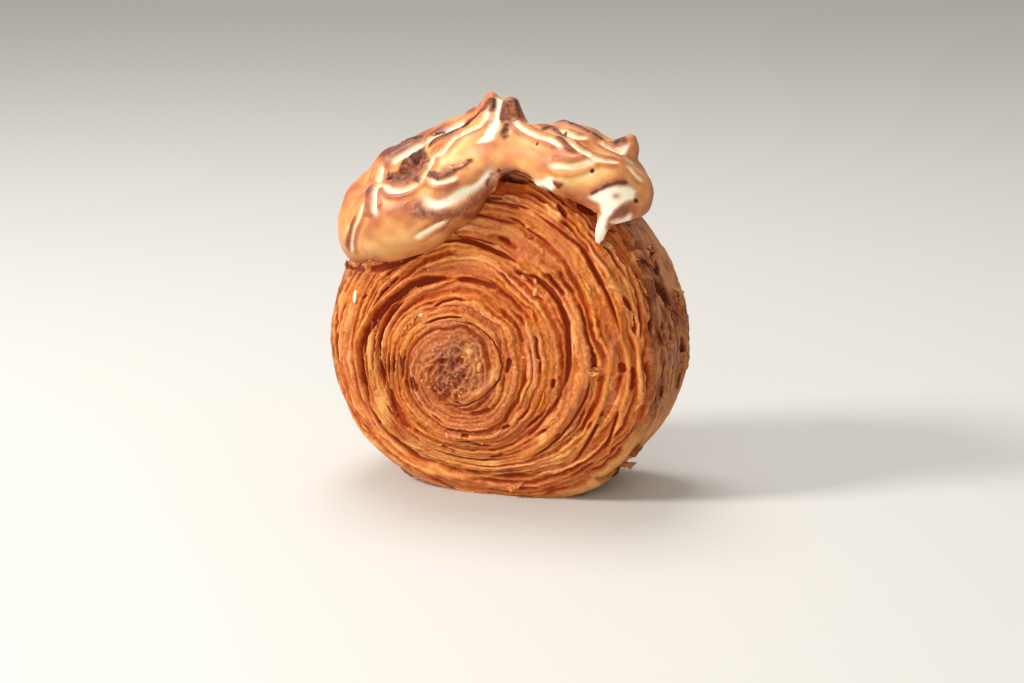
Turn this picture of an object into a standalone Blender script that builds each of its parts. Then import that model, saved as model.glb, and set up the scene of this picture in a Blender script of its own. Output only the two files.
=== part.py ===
"""A round laminated roll, baked from a coil of croissant dough, on its rim under a torched meringue cap.

Metres, +Z up. X runs across the coiled front face, which looks along -Y. The origin is the middle of the flat
spot that the roll stands on. Two closed solids are made: the pastry roll and the meringue cap.
"""

import math

import bmesh
import bpy
import numpy as np
from mathutils import Matrix
from mathutils.geometry import delaunay_2d_cdt

MM = 0.001
PARTS = "meringue_croissant_roll"

# The roll's own shape
ROLL_RADIUS = 48.4 * MM
ROLL_THICKNESS = 45.0 * MM
AXIS_HEIGHT = 44.8 * MM
EDGE_ROUNDING = 8.5 * MM
RIM_BARREL = 1.2 * MM
FRONT_DOME = 6.0 * MM
BACK_DOME = 4.0 * MM

# Where the coil's eye lies on each face, as (x, z)
FRONT_EYE = (-7.9 * MM, 36.2 * MM)
BACK_EYE = (-2.0 * MM, 41.0 * MM)
EYE_CIRCLE = 46.0 * MM

# The windings, in shares of the way from the eye to the face's edge
EYE_SHARE = 0.046
TURN_SHARE = 0.21
SHARE_AT_EDGE = 0.965
SHEETS_PER_TURN = 3
GROOVE_DEPTH = 2.6 * MM
SHEET_DEPTH = 0.7 * MM
SHEET_WANDER = 0.6 * MM
OPEN_GROOVE_DEPTH = 2.4 * MM
OPEN_GROOVE_FROM = math.radians(60)
OPEN_GROOVE_TO = math.radians(250)
OPEN_GROOVE_FADE = math.radians(35)
OPEN_GROOVE_WIDTH = 0.14
OPEN_GROOVE_TURN = 2

# The outer wrap
TAIL_ANGLE = math.radians(-50)
TAIL_STEP = 1.6 * MM
WRAP_RIPPLE = 0.45 * MM
WRAP_RIPPLE_PITCH = 9.0 * MM

# Mesh fineness
RING_POINTS = 96
RIM_ROWS = 9
ROUNDING_ROWS = 4
LINE_STEP = 4.6 * MM

# The cap: strokes of meringue as knots (x, y, z, radius) in millimetres
MERINGUE_STROKES = {
    "crown_left": [(-35, -9, 80, 8), (-28, -8, 88, 9), (-16, -9, 95, 10), (0, -11, 98, 10.5)],
    "crown_right": [(0, -11, 98, 10.5), (15, -9, 96, 9.5), (25, -9, 95, 9.5), (36, -12, 91, 8.5)],
    "left_bulb": [(-38, -16, 73, 8.5), (-38, -13, 81, 8.5)],
    "left_lobe": [(-35, -21, 78, 9.5), (-29, -24, 78.5, 11), (-19, -25, 82, 11), (-9, -25, 89, 9)],
    "lobe_tail": [(-9, -25, 89, 9), (1, -24, 96, 6)],
    "right_arm": [(3, -24, 97, 5.5), (14, -24, 98, 6.5), (25, -25, 96.5, 7.5), (36, -22, 93, 7.5)],
    "right_bulb": [(36, -22, 93, 7), (41, -18, 90.5, 6.5)],
    "lower_right_lip": [(43, -19, 88, 4), (38, -24, 87, 3.2)],
    "drip": [(40, -24, 87.5, 3.6), (37, -26, 84.5, 2.8), (35.5, -27, 81, 2.2), (35.5, -27.2, 78, 1.8)],
    "horn": [(35, -14, 97, 6), (39, -14, 102, 3.4), (40, -14, 104.2, 2)],
    "left_ridge": [(-36, -12, 87, 5), (-31, -12, 94, 5), (-22, -12, 99, 5), (-13, -13, 104, 4)],
    "left_slope": [(-13, -13, 104, 4), (-5, -14, 109, 3)],
    "right_ridge": [(6, -13, 104, 4.5), (14, -13, 103, 4), (20, -13, 104, 4), (27, -13, 101, 5)],
    "right_slope": [(27, -13, 101, 5), (33, -14, 98, 5)],
    "peak": [(1, -14, 101, 9), (1, -14, 107, 6), (-0.5, -15, 111.5, 3.4), (-0.8, -15, 114.6, 1.8)],
    "peak_finger": [(3, -14, 105, 6), (5, -14, 110, 3.4), (5.2, -14, 112.8, 2.2)],
    "top": [(-26, 4, 86, 9), (0, 5, 91.5, 9), (26, 4, 87, 9)],
    "top_back": [(-29, 12, 82, 8.5), (-12, 14, 90, 8.5), (4, 15, 91, 8.5), (18, 14, 89, 8), (30, 11, 83, 8)],
    "back_drape": [(-24, 19, 82, 6.5), (-11, 22, 86, 6.5), (2, 22, 84, 7), (15, 22, 87, 6), (24, 17, 84, 6)],
}
BALL_SPACING = 0.35
CAP_VOXEL = 1.3 * MM
CAP_SMOOTHING_ROUNDS = 6
CAP_TRIANGLE_SHARE = 0.22

# The smooth form, a little larger than the roll, that hollows the cap
CAP_GAP = 1.6 * MM
HOLLOW_SEGMENTS = 64
HOLLOW_RINGS = 40
HOLLOW_RIM_SHARE = 0.3
HOLLOW_ROUNDING_SHARE = 0.25

PASTRY_COLOUR = (0.50, 0.19, 0.055, 1.0)
MERINGUE_COLOUR = (0.83, 0.50, 0.22, 1.0)


def clear_scene():
    for old in list(bpy.data.objects):
        bpy.data.objects.remove(old)


def material(name, colour, roughness):
    made = bpy.data.materials.new(name)
    made.use_nodes = True
    shader = made.node_tree.nodes["Principled BSDF"]
    shader.inputs["Base Color"].default_value = colour
    shader.inputs["Roughness"].default_value = roughness
    shader.inputs["Metallic"].default_value = 0.0
    return made


def smooth_step(low, high, value):
    share = np.clip((value - low) / (high - low), 0.0, 1.0)
    return share * share * (3.0 - 2.0 * share)


def rim_radius(angle):
    """Radius of the outer wrap about the roll's axis, a little three-sided and wider than it is tall."""
    lumps = -1.5 * np.sin(3 * angle) + 0.5 * np.cos(2 * angle) - 0.3 * np.sin(2 * angle)
    return ROLL_RADIUS + lumps * MM


def tail_offset(angle):
    """The wrap ends in a step: its radius climbs by one sheet over a turn and drops at the tail."""
    turned = np.mod(angle - TAIL_ANGLE, 2 * math.pi) / (2 * math.pi)
    return TAIL_STEP * (turned - 0.5)


def wrap_ripple(angle, depth):
    """Low ripples that run round the outer wrap."""
    waves = np.sin(2 * math.pi * depth / WRAP_RIPPLE_PITCH + 1.6 * np.sin(3 * angle))
    return WRAP_RIPPLE * waves + 0.4 * MM * np.sin(7 * angle + 90 * depth) + tail_offset(angle)


def winding_relief(sheet, turn_angle):
    """Height of the coil above its base at a share (0 to 1) of the way across a winding."""
    across = np.abs(2 * sheet - 1)
    band = -GROOVE_DEPTH * across**4
    sheets = -SHEET_DEPTH * (0.5 + 0.5 * np.cos(2 * math.pi * SHEETS_PER_TURN * sheet))
    number = np.floor(sheet * SHEETS_PER_TURN)
    wander = np.sin(turn_angle * (1.3 + 0.37 * number) + 2.1 * number)
    wander = wander + 0.6 * np.sin(turn_angle * (2.9 - 0.4 * number) + 0.7 * number)
    return band + sheets + SHEET_WANDER * wander * (1 - across**2)


def open_groove(sheet, turn_angle):
    """The one winding that has sprung open, on the front face's left side."""
    start = 2 * math.pi * OPEN_GROOVE_TURN + OPEN_GROOVE_FROM
    end = 2 * math.pi * OPEN_GROOVE_TURN + OPEN_GROOVE_TO
    opening = smooth_step(start - OPEN_GROOVE_FADE, start + OPEN_GROOVE_FADE, turn_angle)
    closing = smooth_step(end - OPEN_GROOVE_FADE, end + OPEN_GROOVE_FADE, turn_angle)
    from_valley = np.minimum(sheet, 1 - sheet) / OPEN_GROOVE_WIDTH
    return -OPEN_GROOVE_DEPTH * opening * (1 - closing) * np.exp(-(from_valley**2))


def face_point(share, angle, side):
    """Place and outward normal of the smooth face, at a share of the way from the coil's eye to its edge.

    side is -1 for the front face and +1 for the back.
    """
    eye, dome = (FRONT_EYE, FRONT_DOME) if side < 0 else (BACK_EYE, BACK_DOME)
    reach = rim_radius(angle) - EDGE_ROUNDING
    edge_x = reach * np.cos(angle)
    edge_z = AXIS_HEIGHT + reach * np.sin(angle)
    circle = EYE_CIRCLE * (1 - share)
    x = eye[0] + share * (circle * np.cos(angle) + share * (edge_x - eye[0]))
    z = eye[1] + share * (circle * np.sin(angle) + share * (edge_z - eye[1]))
    y = side * (ROLL_THICKNESS / 2 + dome * (1 - share**2))
    slope = 2 * dome * share / ROLL_RADIUS
    normal = np.stack([slope * np.cos(angle), side * np.ones_like(slope), slope * np.sin(angle)], -1)
    return np.stack([x, y, z], -1), normal / np.linalg.norm(normal, axis=-1, keepdims=True)


def face_relief(share, angle, side):
    """Relief at any place on a face, from the winding that passes there."""
    turns = (share - EYE_SHARE) / TURN_SHARE - angle / (2 * math.pi)
    turn = np.floor(turns)
    sheet = turns - turn
    turn_angle = 2 * math.pi * turn + angle
    relief = winding_relief(sheet, turn_angle)
    if side < 0:
        relief = relief + open_groove(sheet, turn_angle)
    return relief * (1 - 0.6 * smooth_step(0.9, 1.0, share))


def spiral_lines():
    """(share, angle) samples along the crests and valleys of the coil, one array for each line."""
    lines = []
    for number in range(2 * SHEETS_PER_TURN):
        offset = number / (2 * SHEETS_PER_TURN)
        turned, samples = 0.0, []
        while True:
            share = EYE_SHARE + TURN_SHARE * (offset + turned / (2 * math.pi))
            if share > SHARE_AT_EDGE:
                break
            samples.append((share, turned))
            turned += LINE_STEP / max(share * EYE_CIRCLE, 0.6 * LINE_STEP)
        lines.append(np.array(samples))
    return lines


def face_mesh(side):
    """Inner vertices of one face, and its triangles, whose numbers begin with the outer ring's."""
    ring = np.arange(RING_POINTS) * 2 * math.pi / RING_POINTS
    flat = [(math.cos(a), math.sin(a)) for a in ring]
    edges, samples = [], []
    for line in spiral_lines():
        first = len(flat)
        flat += [(s * math.cos(a), s * math.sin(a)) for s, a in line]
        edges += [(i, i + 1) for i in range(first, len(flat) - 1)]
        samples.append(line)
    samples = np.concatenate(samples)
    share, angle = samples[:, 0], np.mod(samples[:, 1], 2 * math.pi)
    point, normal = face_point(share, angle, side)
    points = point + normal * face_relief(share, angle, side)[:, None]
    made = delaunay_2d_cdt(flat, edges, [], 0, 1e-7)
    source = [first[0] for first in made[3]]
    triangles = [[source[i] for i in face] for face in made[2]]
    return points, triangles


def rim_rings():
    """Rings of vertices from the front face's edge, round the rim, to the back face's edge."""
    angle = np.arange(RING_POINTS) * 2 * math.pi / RING_POINTS
    rings = []
    straight = ROLL_THICKNESS / 2 - EDGE_ROUNDING
    stations = [(-1, math.radians(90 * i / ROUNDING_ROWS), -straight) for i in range(ROUNDING_ROWS + 1)]
    stations += [(0, math.radians(90), straight * (2 * i / RIM_ROWS - 1)) for i in range(1, RIM_ROWS)]
    stations += [(1, math.radians(90 * i / ROUNDING_ROWS), straight) for i in range(ROUNDING_ROWS, -1, -1)]
    for side, lean, depth in stations:
        out = EDGE_ROUNDING * (math.sin(lean) - 1)
        y = depth + side * EDGE_ROUNDING * math.cos(lean)
        barrel = RIM_BARREL * (1 - (2 * y / ROLL_THICKNESS) ** 2)
        on_rim = math.sin(lean)
        ripple = wrap_ripple(angle, y) * on_rim
        inset = face_relief(np.ones_like(angle), angle, side) * math.cos(lean) if side else 0 * angle
        radius = rim_radius(angle) + out + barrel + ripple + inset * on_rim
        y = y + side * inset * math.cos(lean)
        rings.append(np.stack([radius * np.cos(angle), y, AXIS_HEIGHT + radius * np.sin(angle)], -1))
    return rings


def make_roll():
    """The pastry: two coiled faces and the outer wrap, pressed flat where it stands."""
    rings = rim_rings()
    points = list(rings)
    last_ring = (len(rings) - 1) * RING_POINTS
    triangles = []
    for row in range(len(rings) - 1):
        for i in range(RING_POINTS):
            a, b = row * RING_POINTS + i, row * RING_POINTS + (i + 1) % RING_POINTS
            triangles += [(a, b, b + RING_POINTS), (a, b + RING_POINTS, a + RING_POINTS)]
    count = len(rings) * RING_POINTS
    for side, ring_start in ((-1, 0), (1, last_ring)):
        inner, faces = face_mesh(side)
        for face in faces:
            moved = [ring_start + i if i < RING_POINTS else count + i - RING_POINTS for i in face]
            triangles.append(moved if side < 0 else moved[::-1])
        points.append(inner)
        count += len(inner)
    points = np.concatenate(points)
    points[:, 2] = np.maximum(points[:, 2], 0.0)
    shaped = bmesh.new()
    corners = [shaped.verts.new(point) for point in points]
    for triangle in triangles:
        shaped.faces.new([corners[i] for i in triangle])
    bmesh.ops.recalc_face_normals(shaped, faces=shaped.faces)
    return mesh_object("pastry_roll", shaped, PARTS, material("baked_pastry", PASTRY_COLOUR, 0.5))


def hollow_point(angle, lean):
    """A place outside the roll's smooth form. lean runs from -1 at the front eye to +1 at the back one."""
    side = -1 if lean < 0 else 1
    from_face = 1 - abs(lean)
    face_share = 1 - HOLLOW_RIM_SHARE - HOLLOW_ROUNDING_SHARE
    if from_face < face_share:
        point, normal = face_point(np.array(from_face / face_share), np.array(angle), side)
        return point + CAP_GAP * normal
    radius = rim_radius(angle) + RIM_BARREL + TAIL_STEP / 2 + CAP_GAP
    half, rounding = ROLL_THICKNESS / 2 + CAP_GAP, EDGE_ROUNDING + CAP_GAP
    turned = math.pi / 2 * min((from_face - face_share) / HOLLOW_ROUNDING_SHARE, 1.0)
    along = min(abs(lean) / HOLLOW_RIM_SHARE, 1.0)
    radius -= rounding * (1 - math.sin(turned))
    y = side * ((half - rounding) * along + rounding * math.cos(turned))
    return np.array([radius * math.cos(angle), y, AXIS_HEIGHT + radius * math.sin(angle)])


def make_hollow():
    """The cutter that leaves the cap lying on the pastry."""
    shaped = bmesh.new()
    bmesh.ops.create_uvsphere(shaped, u_segments=HOLLOW_SEGMENTS, v_segments=HOLLOW_RINGS, radius=1.0)
    for vertex in shaped.verts:
        angle = math.atan2(vertex.co.y, vertex.co.x)
        lean = math.asin(max(-1.0, min(1.0, vertex.co.z))) / (math.pi / 2)
        vertex.co = hollow_point(angle, lean)
    # The ball's axis is laid along Y by swapping two axes, which turns its faces over
    bmesh.ops.reverse_faces(shaped, faces=shaped.faces)
    cutter = mesh_object("cap_hollow", shaped, "cutters")
    cutter.hide_render = True
    cutter.display_type = "WIRE"
    return cutter


def make_meringue(hollow):
    """Balls along every stroke, fused and smoothed, then hollowed by the roll that they lie on."""
    shaped = bmesh.new()
    for knots in MERINGUE_STROKES.values():
        for start, end in zip(knots[:-1], knots[1:]):
            start, end = np.array(start) * MM, np.array(end) * MM
            length = np.linalg.norm(end[:3] - start[:3])
            count = math.ceil(length / (BALL_SPACING * min(start[3], end[3])))
            for i in range(count + 1):
                x, y, z, radius = start + (end - start) * i / count
                place = Matrix.Translation((x, y, z))
                bmesh.ops.create_icosphere(shaped, subdivisions=3, radius=radius, matrix=place)
    cap = mesh_object("meringue_cap", shaped, PARTS, material("torched_meringue", MERINGUE_COLOUR, 0.45))
    fused = cap.modifiers.new("fused", "REMESH")
    fused.mode = "VOXEL"
    fused.voxel_size = CAP_VOXEL
    fused.use_smooth_shade = True
    softened = cap.modifiers.new("softened", "SMOOTH")
    softened.iterations = CAP_SMOOTHING_ROUNDS
    lightened = cap.modifiers.new("lightened", "DECIMATE")
    lightened.ratio = CAP_TRIANGLE_SHARE
    hollowed = cap.modifiers.new("hollowed", "BOOLEAN")
    hollowed.operation = "DIFFERENCE"
    hollowed.object = hollow
    return cap


def mesh_object(name, shaped, collection, finish=None):
    """An object in a collection, from a bmesh that is used up."""
    mesh = bpy.data.meshes.new(name)
    shaped.to_mesh(mesh)
    shaped.free()
    if finish:
        mesh.materials.append(finish)
    mesh.shade_smooth()
    made = bpy.data.objects.new(name, mesh)
    bpy.data.collections[collection].objects.link(made)
    return made


def main():
    clear_scene()
    for name in (PARTS, "cutters"):
        bpy.context.scene.collection.children.link(bpy.data.collections.new(name))
    make_roll()
    make_meringue(make_hollow())


main()
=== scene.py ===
"""Looks of the coiled croissant roll and its torched meringue cap.

Metres, +Z up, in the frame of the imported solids. The coiled front face looks along -Y.
"""
import math

import bmesh
import bpy
import numpy as np
from mathutils import Matrix, Vector
from mathutils.bvhtree import BVHTree


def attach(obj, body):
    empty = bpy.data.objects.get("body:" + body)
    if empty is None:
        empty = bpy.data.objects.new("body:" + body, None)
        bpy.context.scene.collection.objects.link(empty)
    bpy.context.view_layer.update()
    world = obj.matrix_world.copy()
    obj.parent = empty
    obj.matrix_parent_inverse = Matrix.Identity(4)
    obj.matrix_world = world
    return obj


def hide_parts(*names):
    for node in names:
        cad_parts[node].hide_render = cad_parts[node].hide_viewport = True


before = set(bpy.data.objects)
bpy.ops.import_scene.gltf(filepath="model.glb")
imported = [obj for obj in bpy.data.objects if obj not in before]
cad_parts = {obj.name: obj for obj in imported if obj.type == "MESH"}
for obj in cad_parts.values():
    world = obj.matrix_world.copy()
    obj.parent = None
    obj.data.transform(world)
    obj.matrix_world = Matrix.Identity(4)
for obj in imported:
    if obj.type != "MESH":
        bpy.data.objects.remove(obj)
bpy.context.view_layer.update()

MM = 0.001
TURN = 2 * math.pi

# The photograph's camera
IMAGE_SIZE = (1024, 683)
CAMERA_AZIMUTH = math.radians(19.0)
CAMERA_ELEVATION = math.radians(12.5)
CAMERA_DISTANCE = 0.80
FOCAL_PIXELS = 2744.0
SENSOR_MM = 36.0
AIM = np.array([0.0, 0.0, 0.0485])
AIM_PIXEL = (511.0, 316.0)

# Studio: area lights as place, size, power and tint, the sky and the floor
LIGHTS = {
    "key": ((-0.70, -0.56, 0.68), 0.30, 11.4, (1.0, 0.97, 0.93)),
    "fill": ((0.15, -1.10, 0.32), 0.8, 4.3, (1.0, 0.96, 0.91)),
    "top": ((-0.20, 0.20, 0.95), 0.5, 5.0, (1.0, 1.0, 1.0)),
}
LIGHTS_AIM = Vector((0.0, 0.0, 0.055))
SKY_TINT = (0.90, 0.86, 0.80, 1.0)
SKY_STRENGTH = 0.55
FLOOR_SIZE = 6.0
FLOOR_TINT = (0.62, 0.61, 0.58, 1.0)

# The roll's form, as its solid has it
ROLL_RADIUS = 48.4 * MM
ROLL_THICKNESS = 45.0 * MM
AXIS_HEIGHT = 44.8 * MM
EDGE_ROUNDING = 8.5 * MM
RIM_BARREL = 1.2 * MM
FRONT_DOME = 6.0 * MM
BACK_DOME = 4.0 * MM
FRONT_EYE = (-7.9 * MM, 36.2 * MM)
BACK_EYE = (-2.0 * MM, 41.0 * MM)
EYE_CIRCLE = 46.0 * MM
EYE_SHARE = 0.046
TURN_SHARE = 0.21
TAIL_ANGLE = math.radians(-50)
TAIL_STEP = 1.6 * MM
ROUNDING_PATH = EDGE_ROUNDING * math.pi / 2
RIM_PATH = ROLL_THICKNESS - 2 * EDGE_ROUNDING

# The laminated sheets between one winding and the next, the thin layers of a sheet, and the length that stands
# for the way from the coil's eye to a face's edge
SHEETS = 5
THIN_LAYERS = 3
SHARE_LENGTH = 43.0 * MM

# Rows of rings in the roll's skins, the share at which a face's first ring lies, and the points of the rings at
# the eye and round the rim
FRONT_FACE_ROWS, FRONT_RIM_ROWS = 215, 75
BACK_FACE_ROWS, BACK_RIM_ROWS = 130, 42
EYE_HOLE = 0.006
EYE_POINTS, RIM_POINTS = 64, 512

# Points and rows of the form that pixels are cast on, the step in pixels between cast ones, and how far behind
# its near rays one may land
FORM_POINTS, FORM_FACE_ROWS, FORM_RIM_ROWS = 192, 60, 50
CAST_STEP = 1.5
NEAR_RAYS = 4
DEPTH_JUMP = 5.0 * MM

# Flakes and crumbs: points of a flake's grid, and how many are strewn beside those that the photograph shows
FLAKE_GRID = (13, 8)
FLAKE_SIZE = FLAKE_GRID[0] * FLAKE_GRID[1]
RIM_FLAKES, FACE_FLAKES = 52, 90
STREWN_CRUMBS = 44

# The meringue's skin, and the step back of its lower edge
STROKE_BLEND = 1.3 * MM
MERINGUE_VOXEL = 0.56 * MM
SUNK_DEPTH = 1.6 * MM
NOTCH_DEPTH = 4.0 * MM


def smooth_step(low, high, value):
    share = np.clip((value - low) / (high - low), 0.0, 1.0)
    return share * share * (3.0 - 2.0 * share)


def bump(value, middle, width):
    return np.exp(-(((value - middle) / width) ** 2))


def angle_gap(angle, middle):
    """Difference of two angles, from -pi to pi."""
    return np.mod(angle - middle + math.pi, TURN) - math.pi


def hashed(cells, seed):
    """A repeatable number from 0 to 1 for each whole-numbered cell."""
    x, y, z = (cells[..., i].astype(np.int64) for i in range(3))
    h = (x * 374761393 + y * 668265263 + z * 2147483629 + seed * 1442695041) & 0xFFFFFFFF
    h = ((h ^ (h >> 13)) * 1274126177) & 0xFFFFFFFF
    h = ((h ^ (h >> 16)) * 2246822519) & 0xFFFFFFFF
    return ((h ^ (h >> 15)) & 0xFFFFFF) / float(0xFFFFFF)


def noise(points, seed=0):
    """Smooth noise from -1 to 1 at places measured in cells."""
    points = np.asarray(points, float)
    base = np.floor(points)
    part = points - base
    part = part * part * part * (part * (part * 6 - 15) + 10)
    total = 0.0
    for corner in range(8):
        offset = np.array([corner & 1, (corner >> 1) & 1, (corner >> 2) & 1])
        weight = np.prod(np.where(offset == 1, part, 1 - part), axis=-1)
        total = total + weight * hashed(base + offset, seed)
    return 2 * total - 1


def along_sheet(length, number, cell, seed):
    """Noise that runs along a sheet: smooth in length, and different for each sheet."""
    place = np.stack([length / cell, number * 1.0, np.full_like(length, seed * 1.0)], -1)
    return noise(place, seed)


def layered_noise(points, cell, seed, layers=3):
    total, weight = 0.0, 1.0
    for layer in range(layers):
        total = total + weight * noise(points * (2**layer / cell), seed + layer)
        weight *= 0.5
    return total


# Camera, floor and light


def camera_axes():
    """Right, up and back of the camera."""
    across, rise = CAMERA_AZIMUTH, CAMERA_ELEVATION
    back = np.array([math.sin(across) * math.cos(rise), -math.cos(across) * math.cos(rise), math.sin(rise)])
    right = np.array([math.cos(across), math.sin(across), 0.0])
    return right, np.cross(back, right), back


def add_camera():
    right, up, back = camera_axes()
    data = bpy.data.cameras.new("camera")
    data.sensor_width = SENSOR_MM
    data.lens = FOCAL_PIXELS * SENSOR_MM / IMAGE_SIZE[0]
    data.shift_x = (IMAGE_SIZE[0] / 2 - AIM_PIXEL[0]) / IMAGE_SIZE[0]
    data.shift_y = (AIM_PIXEL[1] - IMAGE_SIZE[1] / 2) / IMAGE_SIZE[0]
    data.clip_start = 0.01
    camera = bpy.data.objects.new("camera", data)
    turned = Matrix([(*right, 0), (*up, 0), (*back, 0), (0, 0, 0, 1)]).transposed()
    camera.matrix_world = Matrix.Translation(AIM + CAMERA_DISTANCE * back) @ turned.to_3x3().to_4x4()
    bpy.context.scene.collection.objects.link(camera)
    bpy.context.scene.camera = camera


def area_light(name, place, size, power, tint):
    data = bpy.data.lights.new(name, "AREA")
    data.shape = "DISK"
    data.size = size
    data.energy = power
    data.color = tint
    light = bpy.data.objects.new(name, data)
    light.location = place
    light.rotation_euler = (LIGHTS_AIM - Vector(place)).to_track_quat("-Z", "Y").to_euler()
    bpy.context.scene.collection.objects.link(light)


def add_studio():
    for name, (place, size, power, tint) in LIGHTS.items():
        area_light(name, place, size, power, tint)
    world = bpy.data.worlds.new("studio")
    world.use_nodes = True
    sky = world.node_tree.nodes["Background"]
    sky.inputs["Color"].default_value = SKY_TINT
    sky.inputs["Strength"].default_value = SKY_STRENGTH
    bpy.context.scene.world = world
    bpy.context.scene.view_settings.view_transform = "Standard"

    bpy.ops.mesh.primitive_plane_add(size=FLOOR_SIZE, location=(0, 0, 0))
    floor = bpy.context.object
    floor.name = "floor"
    finish, shader, _ = new_material("floor_finish")
    shader.inputs["Base Color"].default_value = FLOOR_TINT
    shader.inputs["Roughness"].default_value = 0.6
    floor.data.materials.append(finish)


# Reading places off the photograph


def pixel_rays(pixels):
    """The eye, and the direction through each pixel of the photograph."""
    right, up, back = camera_axes()
    pixels = np.asarray(pixels, float)
    x = (pixels[:, 0] - AIM_PIXEL[0]) / FOCAL_PIXELS
    y = (AIM_PIXEL[1] - pixels[:, 1]) / FOCAL_PIXELS
    rays = -back + x[:, None] * right + y[:, None] * up
    return AIM + CAMERA_DISTANCE * back, rays / np.linalg.norm(rays, axis=1, keepdims=True)


def to_pixels(points):
    """Where the camera sees places, in pixels of the photograph."""
    right, up, back = camera_axes()
    seen = points - (AIM + CAMERA_DISTANCE * back)
    depth = -(seen @ back)
    x = AIM_PIXEL[0] + FOCAL_PIXELS * (seen @ right) / depth
    y = AIM_PIXEL[1] - FOCAL_PIXELS * (seen @ up) / depth
    return np.stack([x, y], -1)


def cast_pixels(tree, pixels):
    """Places on the form under a line of pixels, or nearest to it where a ray misses or lands far behind."""
    pixels = np.asarray(pixels, float)
    lengths = np.linalg.norm(np.diff(pixels, axis=0), axis=1)
    walked = np.concatenate([[0], np.cumsum(lengths)])
    stops = np.linspace(0, walked[-1], max(2, int(walked[-1] / CAST_STEP) + 1))
    line = np.stack([np.interp(stops, walked, pixels[:, k]) for k in range(2)], -1)
    eye, rays = pixel_rays(line)
    hits = [tree.ray_cast(Vector(eye), Vector(ray)) for ray in rays]
    far = np.array([2 * CAMERA_DISTANCE if hit[0] is None else hit[3] for hit in hits])
    places = []
    for i, ray in enumerate(rays):
        near = far[max(i - NEAR_RAYS, 0) : i + NEAR_RAYS + 1]
        reach = min(near.min(), CAMERA_DISTANCE)
        hit = hits[i][0]
        if hit is None or far[i] > reach + DEPTH_JUMP:
            hit = tree.find_nearest(Vector(eye + ray * reach))[0]
        places.append(np.array(hit))
    return np.array(places)


def line_gap(points, line, most):
    """Distance of places from a line within a reach, and the share of the way along it."""
    gap, along = np.full(len(points), 9.0), np.zeros(len(points))
    near = np.all((points > line.min(0) - most) & (points < line.max(0) + most), axis=1)
    chosen = np.nonzero(near)[0]
    some = points[chosen]
    for i, (start, end) in enumerate(zip(line[:-1], line[1:])):
        way = end - start
        share = np.clip((some - start) @ way / max(way @ way, 1e-12), 0, 1)
        this = np.linalg.norm(some - start - share[:, None] * way, axis=1)
        closer = this < gap[chosen]
        gap[chosen[closer]] = this[closer]
        along[chosen[closer]] = (i + share[closer]) / (len(line) - 1)
    return gap, along


def inside_patch(pixels, corners, soft):
    """From 0 outside a patch of pixels to 1 inside it, with a soft edge."""
    corners = np.asarray(corners, float)
    gap = np.full(len(pixels), 1e9)
    inside = np.zeros(len(pixels), bool)
    for start, end in zip(corners, np.roll(corners, -1, axis=0)):
        way = end - start
        share = np.clip((pixels - start) @ way / (way @ way), 0, 1)
        gap = np.minimum(gap, np.linalg.norm(pixels - start - share[:, None] * way, axis=1))
        crosses = (start[1] > pixels[:, 1]) != (end[1] > pixels[:, 1])
        at = start[0] + (pixels[:, 1] - start[1]) / (way[1] if abs(way[1]) > 1e-9 else 1e-9) * way[0]
        inside ^= crosses & (pixels[:, 0] < at)
    return smooth_step(-soft, soft, np.where(inside, gap, -gap))


def drawn_lines(lines, tree, base, reach, fade):
    """Each line of a table on the form: width, depth, the gap of each place from it and its strength there.

    Places further away than reach widths are left out. The line fades towards its ends, over the share fade.
    """
    for width, depth, line in lines.values():
        gap, along = line_gap(base, cast_pixels(tree, line), reach * width * MM)
        ends = smooth_step(-0.02, fade, along) * smooth_step(1.02, 1 - fade, along)
        yield width * MM, depth * MM, gap, ends


def pixel_spot(pixels, x, y, half_x, half_y):
    """A soft spot at a pixel, 1 in its middle."""
    return bump(pixels[:, 0], x, half_x) * bump(pixels[:, 1], y, half_y)


# Meshes


def mesh_piece(name, points, triangles, material):
    mesh = bpy.data.meshes.new(name)
    mesh.vertices.add(len(points))
    mesh.vertices.foreach_set("co", np.asarray(points, np.float32).ravel())
    mesh.loops.add(3 * len(triangles))
    mesh.loops.foreach_set("vertex_index", np.asarray(triangles, np.int32).ravel())
    mesh.polygons.add(len(triangles))
    mesh.polygons.foreach_set("loop_start", np.arange(0, 3 * len(triangles), 3, dtype=np.int32))
    mesh.update(calc_edges=True)
    mesh.validate()
    mesh.shade_smooth()
    mesh.materials.append(material)
    made = bpy.data.objects.new(name, mesh)
    bpy.context.scene.collection.objects.link(made)
    return made


def normals_of(points, triangles):
    a, b, c = (points[triangles[:, i]] for i in range(3))
    face = np.cross(b - a, c - a)
    total = np.stack([
        sum(np.bincount(triangles[:, i], face[:, k], len(points)) for i in range(3)) for k in range(3)
    ], -1)
    return total / np.maximum(np.linalg.norm(total, axis=1, keepdims=True), 1e-20)


def neighbour_mean(values, triangles, times=1):
    """Mean of each vertex's neighbours, taken a number of times."""
    first = triangles.ravel()
    second = np.roll(triangles, -1, axis=1).ravel()
    count = np.bincount(first, minlength=len(values)).astype(float)
    for _ in range(times):
        if values.ndim == 1:
            values = np.bincount(first, values[second], len(values)) / count
        else:
            columns = [np.bincount(first, column[second], len(values)) / count for column in values.T]
            values = np.stack(columns, -1)
    return values


def smoothed(points, triangles, share, times):
    for _ in range(times):
        points = points + share * (neighbour_mean(points, triangles) - points)
    return points


def set_values(mesh, name, kind, field, values):
    """A vertex attribute for the materials to read."""
    mesh.attributes.new(name, kind, "POINT").data.foreach_set(field, np.asarray(values, np.float32).ravel())


def set_number(mesh, name, values):
    set_values(mesh, name, "FLOAT", "value", values)


def set_colour(mesh, name, red, green, blue):
    set_values(mesh, name, "FLOAT_COLOR", "color", np.stack([red, green, blue, np.ones_like(red)], -1))


# Materials


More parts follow.
